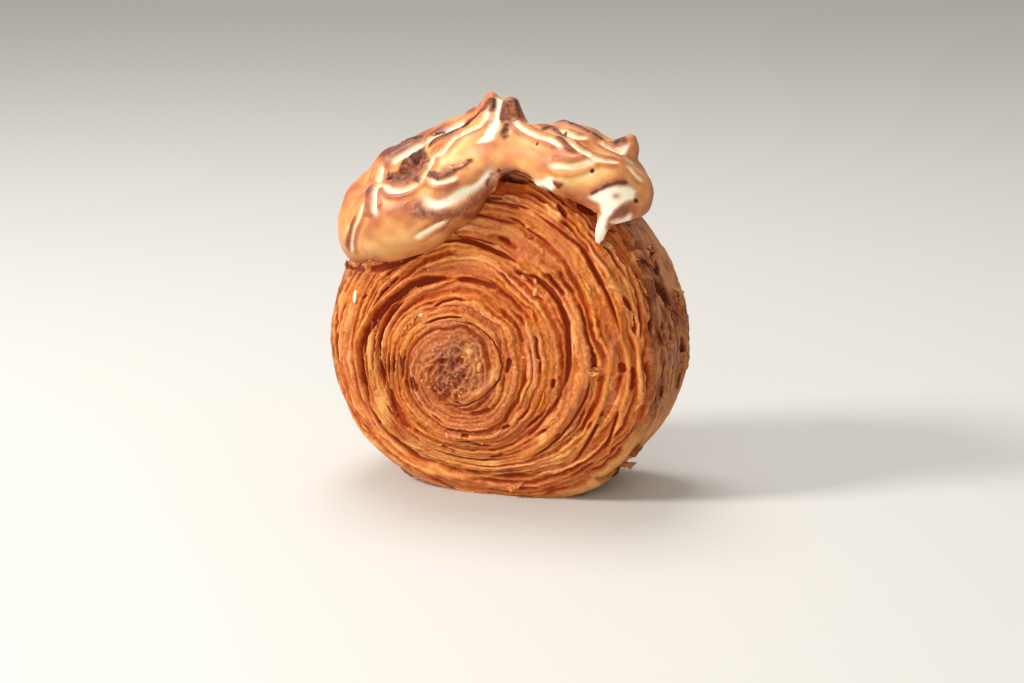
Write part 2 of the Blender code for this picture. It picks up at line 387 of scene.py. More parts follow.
# Colours on a screen, from 0 to 255. A ramp's rows have a place from 0 to 1 before red, green and blue.
GOLDEN_CRUST = ((0.0, 160, 66, 3), (0.35, 184, 91, 10), (0.65, 202, 115, 28), (1.0, 226, 154, 78))
ROSY_CRUST = ((0.0, 148, 60, 12), (0.35, 174, 82, 26), (0.65, 198, 109, 50), (1.0, 228, 153, 98))
BROWNED_CRUST = (172, 84, 42)
DARK_TOAST = ((0.3, 80, 34, 22), (0.48, 134, 70, 46), (0.66, 190, 126, 92))
PALE_DOUGH = ((0.3, 228, 144, 62), (0.7, 242, 192, 122))
OUTER_WRAP = ((0.25, 92, 36, 6), (0.48, 146, 74, 24), (0.66, 188, 122, 74))
# Painted shade: darker, saturated colours for the grooves, the toasted grooves and the wrap's slits
GROOVE_SHADE = ((0.0, 192, 84, 8), (0.5, 164, 54, 1), (0.85, 128, 32, 0))
TOASTED_GROOVE_SHADE = (112, 48, 22)
SLIT_SHADE = ((0.38, 60, 12, 1), (0.64, 102, 30, 5))
CRUMB_SKIN = ((0.0, 190, 98, 40), (0.5, 222, 154, 94), (1.0, 252, 240, 222))
MERINGUE_SKIN = (
    (0.0, 234, 206, 156), (0.2, 224, 178, 112), (0.42, 210, 146, 84),
    (0.62, 190, 116, 64), (0.82, 158, 84, 48), (1.0, 112, 56, 36),
)
MERINGUE_SPECK = (160, 90, 52)
GRAINY_SKIN = ((0.35, 110, 58, 38), (0.52, 162, 98, 66), (0.68, 204, 140, 96))
CREAM = (252, 241, 218)
CHARRED = ((0.15, 156, 90, 54), (0.5, 118, 64, 40), (0.82, 84, 44, 28), (1.0, 40, 24, 18))


def colour(red, green, blue):
    """A screen colour, from 0 to 255, as the linear colour that a shader takes."""
    linear = [((c / 255 + 0.055) / 1.055) ** 2.4 if c > 10 else c / 255 / 12.92 for c in (red, green, blue)]
    return (*linear, 1.0)


class Nodes:
    """Short calls for a material's node tree."""

    def __init__(self, tree):
        self.tree = tree

    def add(self, kind, inputs=None, **settings):
        node = self.tree.nodes.new(kind)
        for key, value in settings.items():
            setattr(node, key, value)
        for key, value in (inputs or {}).items():
            self.put(value, node.inputs[key])
        return node

    def put(self, value, socket):
        if isinstance(value, bpy.types.NodeSocket):
            self.tree.links.new(value, socket)
        else:
            socket.default_value = value

    def attribute(self, name, output="Fac"):
        return self.add("ShaderNodeAttribute", attribute_name=name, attribute_type="GEOMETRY").outputs[output]

    def masks(self):
        """The three masks that a skin keeps in one colour attribute."""
        return tuple(self.add("ShaderNodeSeparateColor", {"Color": self.attribute("masks", "Color")}).outputs)

    def place(self):
        return self.add("ShaderNodeTexCoord").outputs["Object"]

    def ramp(self, value, stops):
        node = self.add("ShaderNodeValToRGB", {"Fac": value})
        elements = node.color_ramp.elements
        while len(elements) < len(stops):
            elements.new(0.5)
        for element, (place, red, green, blue) in zip(elements, stops):
            element.position = place
            element.color = colour(red, green, blue)
        return node.outputs["Color"]

    def mix(self, share, first, second):
        node = self.add("ShaderNodeMix", data_type="RGBA", blend_type="MIX")
        self.put(share, node.inputs[0])
        self.put(first, node.inputs[6])
        self.put(second, node.inputs[7])
        return node.outputs[2]

    def math(self, operation, first, second, clamp=False):
        node = self.add("ShaderNodeMath", operation=operation, use_clamp=clamp)
        self.put(first, node.inputs[0])
        self.put(second, node.inputs[1])
        return node.outputs[0]

    def plus(self, first, second, clamp=False):
        return self.math("ADD", first, second, clamp)

    def times(self, first, second, clamp=False):
        return self.math("MULTIPLY", first, second, clamp)

    def noise(self, vector, scale, detail=3.0, roughness=0.55):
        inputs = {"Vector": vector, "Scale": scale, "Detail": detail, "Roughness": roughness}
        return self.add("ShaderNodeTexNoise", inputs).outputs["Fac"]

    def remap(self, value, low, high, to_low, to_high):
        inputs = {"Value": value, "From Min": low, "From Max": high, "To Min": to_low, "To Max": to_high}
        return self.add("ShaderNodeMapRange", inputs, clamp=True).outputs["Result"]

    def bump(self, height, distance, strength, normal=None):
        inputs = {"Height": height, "Distance": distance, "Strength": strength}
        if normal is not None:
            inputs["Normal"] = normal
        return self.add("ShaderNodeBump", inputs).outputs["Normal"]


def new_material(name):
    material = bpy.data.materials.new(name)
    material.use_nodes = True
    return material, material.node_tree.nodes["Principled BSDF"], Nodes(material.node_tree)


def set_softness(shader, mirrored, let_in, radius, scale):
    """How much light a skin mirrors, how much it lets in, and how far that light goes."""
    shader.inputs["Specular IOR Level"].default_value = mirrored
    shader.inputs["Subsurface Weight"].default_value = let_in
    shader.inputs["Subsurface Radius"].default_value = radius
    shader.inputs["Subsurface Scale"].default_value = scale


def pastry_noises(nodes):
    """Noises of the pastry: four that run along the layers, and three in space."""
    flow = nodes.attribute("flow", "Vector")
    place = nodes.place()
    return {
        "streaks": nodes.noise(flow, 1.0, 4.0, 0.6),
        "fine": nodes.noise(flow, 3.1, 3.0, 0.6),
        "broad": nodes.noise(flow, 0.33, 3.0, 0.5),
        "slow": nodes.noise(flow, 0.4, 3.0, 0.5),
        "grain": nodes.noise(place, 1100.0, 3.0, 0.6),
        "patches": nodes.noise(place, 90.0, 3.0, 0.5),
        "mottles": nodes.noise(place, 170.0, 4.0, 0.6),
    }


def crust_colour(nodes, noises, tone):
    """Golden to rosy crust, browner in patches."""
    mixed = nodes.plus(tone, nodes.remap(noises["streaks"], 0.25, 0.75, -0.20, 0.20))
    mixed = nodes.plus(mixed, nodes.remap(noises["fine"], 0.3, 0.7, -0.12, 0.12))
    mixed = nodes.plus(mixed, nodes.remap(noises["grain"], 0.3, 0.7, -0.18, 0.18))
    rosy_share = nodes.remap(noises["broad"], 0.38, 0.62, 0.0, 1.0)
    crust = nodes.mix(rosy_share, nodes.ramp(mixed, GOLDEN_CRUST), nodes.ramp(mixed, ROSY_CRUST))
    return nodes.mix(nodes.remap(noises["patches"], 0.45, 0.72, 0.0, 0.4), crust, colour(*BROWNED_CRUST))


def wrap_colour(nodes, noises, tone):
    """The mottled brown of the outer wrap."""
    mixed = nodes.plus(nodes.times(noises["mottles"], 0.68), nodes.times(noises["slow"], 0.32))
    mixed = nodes.plus(mixed, nodes.times(nodes.math("SUBTRACT", tone, 0.5), 0.4))
    mixed = nodes.plus(mixed, nodes.remap(noises["grain"], 0.3, 0.7, -0.06, 0.06))
    return nodes.ramp(mixed, OUTER_WRAP)


def groove_shade_colour(nodes, noises, groove, toast, wall):
    """Painted shade: the darker, saturated colour inside the grooves of the faces and the slits of the wrap."""
    toast_share = nodes.times(toast, 0.8, True)
    deep = nodes.mix(toast_share, nodes.ramp(groove, GROOVE_SHADE), colour(*TOASTED_GROOVE_SHADE))
    return nodes.mix(wall, deep, nodes.ramp(noises["fine"], SLIT_SHADE))


def pastry_material():
    material, shader, nodes = new_material("baked_lamination")
    groove, toast, pale = nodes.masks()
    wall, tone = nodes.attribute("wall"), nodes.attribute("tone")
    noises = pastry_noises(nodes)
    streaks, fine, grain = noises["streaks"], noises["fine"], noises["grain"]

    toast_share = nodes.times(toast, nodes.remap(streaks, 0.25, 0.7, 1.0, 0.55))
    # tone holds random tone and the painted highlight on the relief's crests
    base = nodes.mix(toast_share, crust_colour(nodes, noises, tone), nodes.ramp(grain, DARK_TOAST))
    base = nodes.mix(pale, base, nodes.ramp(streaks, PALE_DOUGH))
    wrap_share = nodes.times(wall, nodes.remap(pale, 0.1, 0.6, 1.0, 0.35))
    base = nodes.mix(wrap_share, base, wrap_colour(nodes, noises, tone))
    # painted shade in the grooves and slits, as deep as the groove mask says
    groove_shade_share = nodes.remap(groove, 0.06, 0.6, 0.0, 0.95)
    base = nodes.mix(groove_shade_share, base, groove_shade_colour(nodes, noises, groove, toast, wall))
    nodes.put(base, shader.inputs["Base Color"])

    rough = nodes.plus(nodes.remap(streaks, 0.3, 0.7, 0.36, 0.56), nodes.remap(groove, 0.1, 0.7, 0.0, 0.35))
    nodes.put(nodes.plus(rough, nodes.times(wall, 0.12), True), shader.inputs["Roughness"])
    set_softness(shader, 0.30, 0.15, (1.0, 0.32, 0.08), 1.8 * MM)
    lines = nodes.bump(fine, 0.30 * MM, nodes.remap(wall, 0.0, 1.0, 0.8, 0.2))
    nodes.put(nodes.bump(grain, 0.25 * MM, 0.8, lines), shader.inputs["Normal"])
    return material


def crumb_material():
    material, shader, nodes = new_material("crumbs")
    place = nodes.place()
    each = nodes.plus(nodes.attribute("tone"), nodes.remap(nodes.noise(place, 900.0), 0.3, 0.7, -0.1, 0.1))
    nodes.put(nodes.ramp(each, CRUMB_SKIN), shader.inputs["Base Color"])
    shader.inputs["Roughness"].default_value = 0.6
    grain = nodes.noise(place, 2400.0, 2.0, 0.6)
    nodes.put(nodes.bump(grain, 0.1 * MM, 0.7), shader.inputs["Normal"])
    return material


def meringue_material():
    material, shader, nodes = new_material("torched_meringue")
    white, burnt, grainy = nodes.masks()
    place = nodes.place()
    patches = nodes.noise(place, 120.0, 4.0, 0.55)
    specks = nodes.noise(place, 1500.0, 2.0, 0.6)
    grit = nodes.noise(place, 800.0, 4.0, 0.7)

    shade = nodes.plus(nodes.attribute("toast"), nodes.remap(patches, 0.3, 0.7, -0.16, 0.16))
    skin = nodes.ramp(shade, MERINGUE_SKIN)
    skin = nodes.mix(nodes.remap(specks, 0.6, 0.74, 0.0, 0.3), skin, colour(*MERINGUE_SPECK))
    skin = nodes.mix(nodes.times(grainy, 0.9), skin, nodes.ramp(grit, GRAINY_SKIN))
    skin = nodes.mix(white, skin, colour(*CREAM))
    charred = nodes.ramp(nodes.plus(burnt, nodes.remap(grit, 0.3, 0.7, 0.34, -0.34)), CHARRED)
    skin = nodes.mix(nodes.remap(burnt, 0.04, 0.45, 0.0, 1.0), skin, charred)
    nodes.put(skin, shader.inputs["Base Color"])

    nodes.put(nodes.remap(burnt, 0.0, 0.8, 0.46, 0.65), shader.inputs["Roughness"])
    set_softness(shader, 0.45, 0.2, (1.0, 0.55, 0.3), 1.6 * MM)
    coarse = nodes.times(nodes.math("MAXIMUM", burnt, grainy), grit)
    first = nodes.bump(coarse, 0.5 * MM, 0.9)
    nodes.put(nodes.bump(specks, 0.06 * MM, 0.4, first), shader.inputs["Normal"])
    return material


# The roll's form


def rim_radius(angle):
    lumps = -1.5 * np.sin(3 * angle) + 0.5 * np.cos(2 * angle) - 0.3 * np.sin(2 * angle)
    return ROLL_RADIUS + lumps * MM


def tail_offset(angle):
    turned = np.mod(angle - TAIL_ANGLE, TURN) / TURN
    return TAIL_STEP * (turned - 0.5)


def face_point(share, angle, side):
    """Place and outward normal of the smooth face, at a share of the way from the coil's eye to its edge."""
    eye, dome = (FRONT_EYE, FRONT_DOME) if side < 0 else (BACK_EYE, BACK_DOME)
    reach = rim_radius(angle) - EDGE_ROUNDING
    circle = EYE_CIRCLE * (1 - share)
    x = eye[0] + share * (circle * np.cos(angle) + share * (reach * np.cos(angle) - eye[0]))
    z = eye[1] + share * (circle * np.sin(angle) + share * (AXIS_HEIGHT + reach * np.sin(angle) - eye[1]))
    y = side * (ROLL_THICKNESS / 2 + dome * (1 - share**2))
    slope = 2 * dome * share / ROLL_RADIUS
    normal = np.stack([slope * np.cos(angle), side * np.ones_like(slope), slope * np.sin(angle)], -1)
    return np.stack([x, y, z], -1), normal / np.linalg.norm(normal, axis=-1, keepdims=True)


def rim_point(path, angle, side):
    """Place and outward normal past a face's edge, at a length of path over the rounding and the rim."""
    turned = np.clip(path / EDGE_ROUNDING, 0, math.pi / 2)
    along = np.maximum(path - ROUNDING_PATH, 0)
    y = side * (ROLL_THICKNESS / 2 - EDGE_ROUNDING * (1 - np.cos(turned)) - along)
    barrel = RIM_BARREL * (1 - (2 * y / ROLL_THICKNESS) ** 2)
    out = rim_radius(angle) - EDGE_ROUNDING * (1 - np.sin(turned)) + barrel
    out = out + tail_offset(angle) * np.sin(turned)
    point = np.stack([out * np.cos(angle), y, AXIS_HEIGHT + out * np.sin(angle)], -1)
    lean = np.sin(turned)
    normal = np.stack([lean * np.cos(angle), side * np.cos(turned), lean * np.sin(angle)], -1)
    return point, normal


def form_place(share, path, angle, side):
    """Place and outward normal of the smooth roll."""
    face, face_normal = face_point(share, angle, side)
    past, past_normal = rim_point(path, angle, side)
    on_face = (path <= 0)[:, None]
    return np.where(on_face, face, past), np.where(on_face, face_normal, past_normal)


def flat_foot(points):
    """Nothing reaches below the surface that the roll stands on."""
    points[:, 2] = np.maximum(points[:, 2], 0.0)
    return points


def roll_form():
    """A search tree of the roll's smooth front, for casting pixels."""
    count = FORM_POINTS
    here = np.arange(count)
    after = np.roll(here, -1)
    angle = here * TURN / count
    shares = np.linspace(0.02, 1.0, FORM_FACE_ROWS)
    paths = np.linspace(0.5 * MM, ROUNDING_PATH + RIM_PATH, FORM_RIM_ROWS)
    rows = [face_point(np.full(count, share), angle, -1)[0] for share in shares]
    rows += [rim_point(np.full(count, path), angle, -1)[0] for path in paths]
    faces = np.stack([here, after, after + count, here + count], 1)
    faces = np.concatenate([faces + row * count for row in range(len(rows) - 1)])
    return BVHTree.FromPolygons(np.concatenate(rows).tolist(), faces.tolist())


# The roll's layers and wrap


# Lines that the front face shows, as pixels of the photograph, with a half width and a depth or height in
# millimetres before them. Each is cast onto the roll's smooth form. The grooves are also painted dark as shade,
# and those along the meringue's lower edge paint its shadow on the pastry.
# The crests are a little paler, partly as painted highlight.
FACE_GROOVES = {
    "open_outer": (1.35, 3.0, [(452, 279), (440, 279), (425, 281), (410, 286), (400, 293), (389, 301),
        (379, 312), (371, 323), (366, 333), (362, 345), (361, 360), (362, 373), (364, 385), (367, 397),
        (372, 409)]),
    "open_outer_end": (0.7, 1.5, [(368, 401), (374, 412), (381, 423), (390, 434), (400, 443), (410, 451),
        (418, 457), (428, 463)]),
    "open_inner": (0.8, 2.6, [(404, 300), (395, 308), (388, 318), (383, 330), (380, 341), (379, 352),
        (380, 364), (382, 376), (385, 388)]),
    "open_right": (0.8, 1.5, [(455, 279), (470, 280), (484, 284), (498, 289)]),
    "under_lobe": (0.75, 1.6, [(438, 242), (455, 239), (467, 241), (478, 244), (492, 250), (505, 256),
        (518, 263)]),
    "under_lobe_thin": (0.3, 0.8, [(449, 236), (465, 237), (480, 240), (497, 245)]),
    "upper_line": (0.35, 0.9, [(462, 214), (480, 215), (499, 220), (517, 224)]),
    "top_line": (0.4, 1.0, [(471, 204), (486, 201), (505, 204), (520, 206), (533, 211)]),
    "long_right": (0.55, 1.5, [(533, 211), (546, 221), (559, 230), (570, 239), (580, 246), (586, 254),
        (592, 267), (599, 280), (607, 295), (613, 311), (617, 324), (621, 337)]),
    "long_right_deep": (0.8, 1.2, [(578, 243), (586, 254), (592, 267), (599, 280), (606, 292)]),
    "second_right": (0.5, 0.9, [(505, 216), (518, 221), (530, 231), (542, 239), (553, 248)]),
    "inner_right": (0.85, 1.7, [(520, 274), (534, 277), (543, 284), (551, 292), (559, 303), (564, 315),
        (567, 328), (568, 343), (569, 355), (568, 367), (566, 380), (561, 393)]),
    "inner_right_end": (0.5, 0.9, [(561, 393), (555, 405), (546, 416), (536, 429), (524, 440)]),
    "drip_right": (0.85, 1.7, [(607, 227), (615, 230), (621, 236), (626, 245), (630, 254)]),
    "rim_dark_1": (0.6, 1.2, [(631, 266), (638, 278), (644, 288), (648, 299), (651, 317), (650, 336)]),
    "rim_dark_2": (0.45, 1.0, [(625, 267), (631, 280), (637, 292), (640, 305), (642, 324), (641, 340)]),
    "rim_dark_3": (0.8, 1.0, [(622, 295), (629, 305), (632, 318), (636, 336)]),
    "slot_1": (0.7, 1.4, [(592, 357), (594, 364), (593, 373)]),
    "slot_2": (0.9, 1.5, [(619, 364), (622, 368), (622, 374)]),
    "lens": (0.65, 1.5, [(632, 367), (634, 376), (633, 385), (631, 391)]),
    "right_low": (0.5, 1.2, [(619, 410), (615, 422), (611, 435), (608, 443), (603, 452)]),
    "middle_low": (0.4, 1.0, [(604, 409), (600, 420), (592, 435), (585, 447), (579, 456), (570, 465)]),
    "band_edge": (0.35, 0.9, [(590, 377), (589, 386), (586, 397), (579, 411), (570, 425), (559, 438),
        (546, 449), (530, 459)]),
    "slot_3": (0.6, 1.2, [(554, 379), (552, 389)]),
    "slot_4": (0.8, 1.3, [(509, 358), (508, 366), (506, 374)]),
    "crack_foot": (0.5, 1.2, [(579, 474), (587, 468), (595, 464)]),
    "core_ring": (0.25, 0.7, [(448, 320), (460, 322), (474, 325), (484, 332), (493, 341), (499, 352),
        (502, 366), (500, 379), (492, 389), (480, 399), (467, 405), (455, 407), (442, 404), (434, 398)]),
    "ring_2": (0.35, 0.8, [(425, 324), (437, 319), (450, 317), (463, 318)]),
    "ring_3": (0.4, 0.9, [(432, 308), (442, 302), (455, 299), (466, 301)]),
    "left_slot_1": (0.4, 1.0, [(405, 380), (408, 389)]),
    "left_slot_2": (0.45, 1.0, [(412, 376), (414, 385), (417, 393)]),
    "left_slot_3": (0.4, 0.9, [(400, 352), (401, 362), (403, 372)]),
    "bottom_slot_1": (0.45, 1.1, [(461, 435), (469, 436)]),
    "bottom_slot_2": (0.45, 1.2, [(461, 442), (471, 443), (481, 446), (492, 446)]),
    "bottom_slot_3": (0.4, 1.0, [(442, 445), (448, 448)]),
    "bottom_slot_4": (0.4, 1.0, [(446, 429), (452, 431)]),
    "bottom_slot_5": (0.5, 1.1, [(496, 430), (504, 428), (511, 425)]),
    "bottom_slot_6": (0.4, 1.0, [(489, 458), (497, 457), (503, 454)]),
    "bottom_hollow": (0.8, 0.9, [(470, 414), (480, 413), (492, 409)]),
    "edge_left": (0.35, 0.8, [(346, 300), (343, 312), (340, 326), (339, 342)]),
    "slant_1": (0.35, 0.9, [(386, 276), (391, 271), (396, 267)]),
    "slant_2": (0.35, 0.8, [(362, 299), (367, 294)]),
    "lobe_shade": (1.0, 1.1, [(343, 263), (352, 268), (366, 270), (382, 268), (398, 263), (414, 256),
        (430, 245), (446, 232), (462, 218), (476, 206), (486, 196)]),
    "under_cap_1": (0.9, 2.2, [(489, 186), (497, 187), (507, 189), (516, 190)]),
    "under_cap_2": (0.9, 2.0, [(500, 176), (510, 177), (520, 180), (528, 183)]),
    "under_cap_3": (0.45, 1.2, [(484, 199), (494, 198), (503, 199)]),
    "beside_cap": (0.9, 1.6, [(557, 203), (562, 209), (567, 216)]),
    "bowl_shade": (0.8, 1.4, [(577, 204), (586, 202), (594, 205), (600, 210)]),
}
FACE_CRESTS = {
    "strap": (1.5, 0.5, [(376, 322), (372, 333), (371, 341), (371, 360), (374, 379), (378, 396), (383, 410),
        (388, 424)]),
    "groove_lip": (1.0, 0.7, [(455, 274), (440, 273), (424, 275), (408, 281), (396, 288), (384, 299),
        (373, 312), (363, 326), (356, 342), (354, 358), (356, 376)]),
    "inner_lip": (0.8, 0.5, [(440, 285), (425, 289), (410, 299), (399, 310), (391, 323), (387, 336),
        (385, 350), (387, 368)]),
    "low_band": (1.1, 1.0, [(366, 404), (374, 418), (384, 431), (395, 444), (410, 457), (427, 469),
        (450, 475), (474, 476), (499, 473), (517, 467)]),
    "big_band": (1.3, 1.1, [(510, 466), (524, 457), (540, 446), (552, 435), (564, 420), (571, 407),
        (577, 395), (583, 382), (585, 370), (585, 355), (583, 340)]),
    "second_band": (1.2, 0.9, [(615, 335), (612, 354), (608, 372), (605, 391), (601, 410), (592, 429),
        (582, 444), (571, 453)]),
    "light_strand": (0.8, 1.0, [(618, 325), (622, 341), (627, 354), (630, 372), (628, 391), (621, 410),
        (616, 426), (611, 441), (604, 456)]),
    "rim_strand": (0.8, 0.8, [(627, 300), (634, 320), (638, 345), (638, 370), (640, 382), (637, 395)]),
    "shiny_strand": (0.9, 1.0, [(588, 250), (597, 261), (605, 270), (612, 280), (620, 293), (626, 310)]),
    "top_band": (1.6, 0.6, [(450, 252), (468, 252), (486, 256), (503, 264), (520, 272)]),
    "disc_band": (1.5, 0.6, [(572, 300), (577, 318), (579, 335)]),
    "core_fold_1": (0.7, 0.8, [(448, 347), (458, 345), (464, 351), (466, 361), (463, 370)]),
    "core_fold_2": (0.9, 0.8, [(466, 348), (470, 356), (474, 364), (476, 374)]),
    "core_fold_3": (1.2, 0.9, [(494, 366), (495, 376), (489, 386), (480, 393), (468, 399)]),
    "core_fold_4": (0.6, 0.6, [(428, 352), (437, 346), (448, 343)]),
    "core_fold_5": (0.6, 0.6, [(421, 362), (428, 356), (438, 353)]),
    "core_fold_6": (0.6, 0.6, [(419, 384), (420, 373), (427, 366), (436, 364)]),
}
# Outlined places: height in millimetres, groove, pale and tone, then the outline in pixels. The groove column
# paints dark shade into the slits, the triangle, the bowl and the hollow under the meringue's edge.
FRONT_PATCHES = {
    "sheet": (0.5, 0, 0, 0.9, [(630, 224), (640, 243), (651, 246), (656, 262), (660, 277), (665, 288),
        (672, 298), (690, 302), (700, 262), (682, 225), (655, 200)]),
    "slit_1": (-1.1, 1, 0, 0, [(647, 246), (651, 247), (655, 256), (656, 264), (659, 271), (659, 277),
        (654, 274), (651, 265), (649, 256)]),
    "slit_2": (-1.3, 1, 0, 0, [(652, 280), (658, 282), (664, 289), (669, 298), (671, 313), (665, 307),
        (659, 298), (654, 292)]),
    "slit_3": (-1.2, 0.8, 0, 0, [(674, 296), (677, 299), (676, 306), (674, 303)]),
    "slit_4": (-1.0, 1, 0, 0, [(680, 333), (683, 342), (684, 352), (682, 363), (680, 363), (678, 350),
        (679, 341)]),
    "slit_5": (-0.4, 0.35, 0, 0, [(660, 318), (663, 326), (664, 340), (661, 345), (659, 330)]),
    "slit_6": (-0.3, 0.3, 0, 0, [(668, 320), (671, 328), (671, 344), (668, 340)]),
    "strap": (0.4, 0, 0.35, 0.3, [(369, 352), (374, 330), (378, 332), (376, 352), (378, 378), (383, 395),
        (376, 395), (370, 375)]),
    "flap": (0.1, 0, 0.65, 0.1, [(374, 397), (386, 395), (389, 410), (391, 426), (384, 424), (377, 411)]),
    "triangle": (-1.5, 0.7, 0, 0, [(388, 390), (391, 390), (397, 403), (404, 416), (411, 430), (402, 427),
        (396, 419), (391, 405)]),
    "beside_triangle": (-0.5, 0.3, 0, 0, [(391, 388), (396, 392), (405, 410), (415, 430), (411, 431),
        (402, 412)]),
    "thin_sheet": (0.9, 0, 0.8, 0.3, [(546, 203), (556, 205), (563, 216), (557, 222), (549, 216)]),
    "bowl": (-1.0, 0.6, 0, 0, [(577, 206), (584, 199), (596, 200), (602, 208), (596, 214), (584, 212)]),
    "under_cap": (-0.9, 0.4, 0, 0, [(487, 189), (497, 183), (512, 182), (524, 186), (530, 192), (514, 194),
        (498, 195), (489, 194)]),
    "short_strand": (0.6, 0, 0.3, 0.3, [(630, 251), (646, 253), (645, 264), (637, 261), (631, 263)]),
}
# Soft tints: pixel, half sizes in pixels and strength. First pale dough, with a painted glint at (363, 390),
# then dark spots: toasted ones, and one just under the meringue's left lobe at (354, 263).
PALE_SPOTS = [
    (573, 340, 3, 12, 1.0), (381, 409, 5, 13, 0.9), (371, 345, 3, 12, 0.5), (410, 446, 12, 5, 0.7),
    (484, 464, 13, 3, 1.0), (545, 418, 3, 5, 0.7), (543, 437, 4, 6, 0.7), (552, 212, 7, 9, 0.6),
    (626, 281, 3, 9, 0.6), (450, 458, 26, 7, 0.6), (338, 330, 4, 40, 0.5), (617, 400, 3, 6, 0.5),
    (627, 352, 3, 20, 0.45), (640, 258, 8, 5, 0.4), (468, 353, 3, 6, 0.7), (476, 363, 2.5, 9, 0.6),
    (492, 376, 4, 7, 0.55), (478, 392, 9, 6, 0.5), (363, 390, 2, 12, 0.6), (430, 416, 9, 4, 0.5),
    (560, 455, 22, 8, 0.35), (600, 268, 5, 9, 0.45), (465, 292, 20, 5, 0.2), (505, 226, 44, 16, 0.26),
    (560, 250, 22, 22, 0.2), (455, 262, 40, 8, 0.15),
]
TOAST_SPOTS_FACE = [
    (458, 368, 34, 36, 1.0), (478, 345, 20, 16, 0.6), (431, 382, 5, 5, 0.6), (435, 391, 5, 4, 0.6),
    (457, 398, 7, 4, 0.75), (473, 383, 5, 4, 0.6), (482, 363, 4, 9, 0.55), (470, 332, 22, 9, 0.5),
    (510, 350, 6, 16, 0.35), (512, 390, 12, 14, 0.3), (465, 428, 26, 5, 0.25), (354, 263, 15, 10, 1.0),
    (482, 386, 12, 12, 0.6), (590, 355, 8, 26, 0.25), (608, 380, 7, 30, 0.25), (470, 222, 14, 3, 0.4),
    (497, 200, 16, 4, 0.7), (570, 400, 10, 20, 0.15),
]
# How far past the back face's edge its layers still show, before the outer wrap covers them
BACK_REACH = 5.0 * MM
# Slits in the outer wrap: their depth, then from and to angle in degrees, y there and half width, all lengths
# in millimetres
SLIT_DEPTH = 2.6
WRAP_SLITS = [
    (60.0, 82.0, -3.0, 1.0, 1.0),
    (150.0, 171.0, -6.0, -10.0, 1.1),
    (166.0, 188.0, 3.0, 7.0, 1.4),
    (196.0, 214.0, -2.0, -4.0, 1.0),
    (206.0, 231.0, 9.0, 6.0, 1.2),
    (120.0, 138.0, 7.0, 10.0, 1.0),
    (-44.0, -30.0, -4.0, -1.0, 1.1),
    (-30.0, -17.0, 2.0, 5.0, 0.9),
]


def coil(share, angle):
    """Sheets passed on the way out from the coil's eye, at each place of a face."""
    return SHEETS * ((share - EYE_SHARE) / TURN_SHARE - angle / TURN)


def winding_groove(turned, side):
    """Depth in millimetres of the gap between two windings, and its half width in sheets."""
    if side > 0:
        opened = 0.8 + 0.7 * np.sin(0.7 * turned)
        return opened, 0.42 + 0.2 * opened
    opened = 0.30 * (1 + np.sin(1.3 * turned))
    return opened, 0.34 + 0.1 * opened


def sheet_line(lines, edge, angle):
    """Which line between sheets a place lies next to, and its length along the coil."""
    number = np.floor(lines) + edge
    turned = angle + TURN * np.floor(number / SHEETS)
    length = SHARE_LENGTH * (EYE_SHARE * turned + TURN_SHARE * turned**2 / (2 * TURN))
    return np.mod(number, SHEETS), length


def sheet_levels(lines, across, angle, seed):
    """Height of the sheets, each with its level, flaps and lean and blended into the next, and their tone."""
    levels = []
    for step in (-1, 0, 1):
        other, length = sheet_line(lines, step, angle)
        level = 0.42 * along_sheet(length, other, 23 * MM, seed + 2)
        flap = along_sheet(length + 5 * MM * other, other, 9 * MM, seed + 3)
        level = level + 0.42 * smooth_step(-0.10, 0.12, flap) - 0.2
        level = level + 0.12 * along_sheet(length, other, 2.6 * MM, seed + 4)
        levels.append(level)
    number, length = sheet_line(lines, 0, angle)
    before = 0.5 * (1 - smooth_step(0.0, 0.22, across))
    after = 0.5 * smooth_step(0.78, 1.0, across)
    height = levels[1] + (levels[0] - levels[1]) * before + (levels[2] - levels[1]) * after
    lean = 0.5 * along_sheet(length, number, 14 * MM, seed + 12) + 0.15
    height = height + 0.75 * lean * (across - 0.5) + 0.20 * np.sin(math.pi * across)
    return height, 0.8 * levels[1] + 0.25 * lean


def part_sheets(height, lines, across, angle, parted, seed):
    """Cut grooves and cracks along the lines between sheets."""
    groove = np.zeros_like(lines)
    for edge, gap in ((0, across), (1, 1 - across)):
        line, length = sheet_line(lines, edge, angle)
        depth = 0.62 * smooth_step(-0.25, 0.65, along_sheet(length, line, 6.5 * MM, seed + 5))
        crack = smooth_step(0.22, 0.55, along_sheet(length + 9 * MM * line, line, 9 * MM, seed + 6))
        cut = bump(gap, 0, 0.13 + 0.17 * crack)
        height = height - parted * (depth + 1.15 * crack) * cut
        groove = np.maximum(groove, parted * cut * (0.30 * depth + 0.66 * crack))
    return height, groove


def part_thin_layers(height, groove, lines, angle, base, parted, seed):
    """Cut the faint lines between the thin layers of a sheet."""
    length = sheet_line(lines, 0, angle)[1]
    thin_lines = THIN_LAYERS * lines + 0.35 * noise(base / (1.6 * MM), seed + 13)
    across = thin_lines - np.floor(thin_lines)
    for edge, gap in ((0, across), (1, 1 - across)):
        line = np.mod(np.floor(thin_lines) + edge, THIN_LAYERS * SHEETS)
        depth = parted * np.maximum(0.0, 0.02 + 0.30 * along_sheet(length, line, 4.2 * MM, seed + 7))
        height = height - depth * bump(gap, 0, 0.22)
        groove = np.maximum(groove, bump(gap, 0, 0.2) * 0.75 * depth)
    return height, groove


def part_windings(height, groove, lines, angle, side):
    """Open the gaps where one winding has sprung away from the next."""
    winding = lines / SHEETS
    gap = np.abs(winding - np.round(winding)) * SHEETS
    opened, half = winding_groove(np.round(winding) * TURN + angle, side)
    cut = np.exp(-((gap / half) ** 4))
    height = height * (1 - 0.7 * cut * np.minimum(opened, 1)) - (0.35 + opened) * cut
    return height, np.maximum(groove * (1 - 0.6 * cut), cut * np.minimum(0.2 + 0.26 * opened, 0.85))


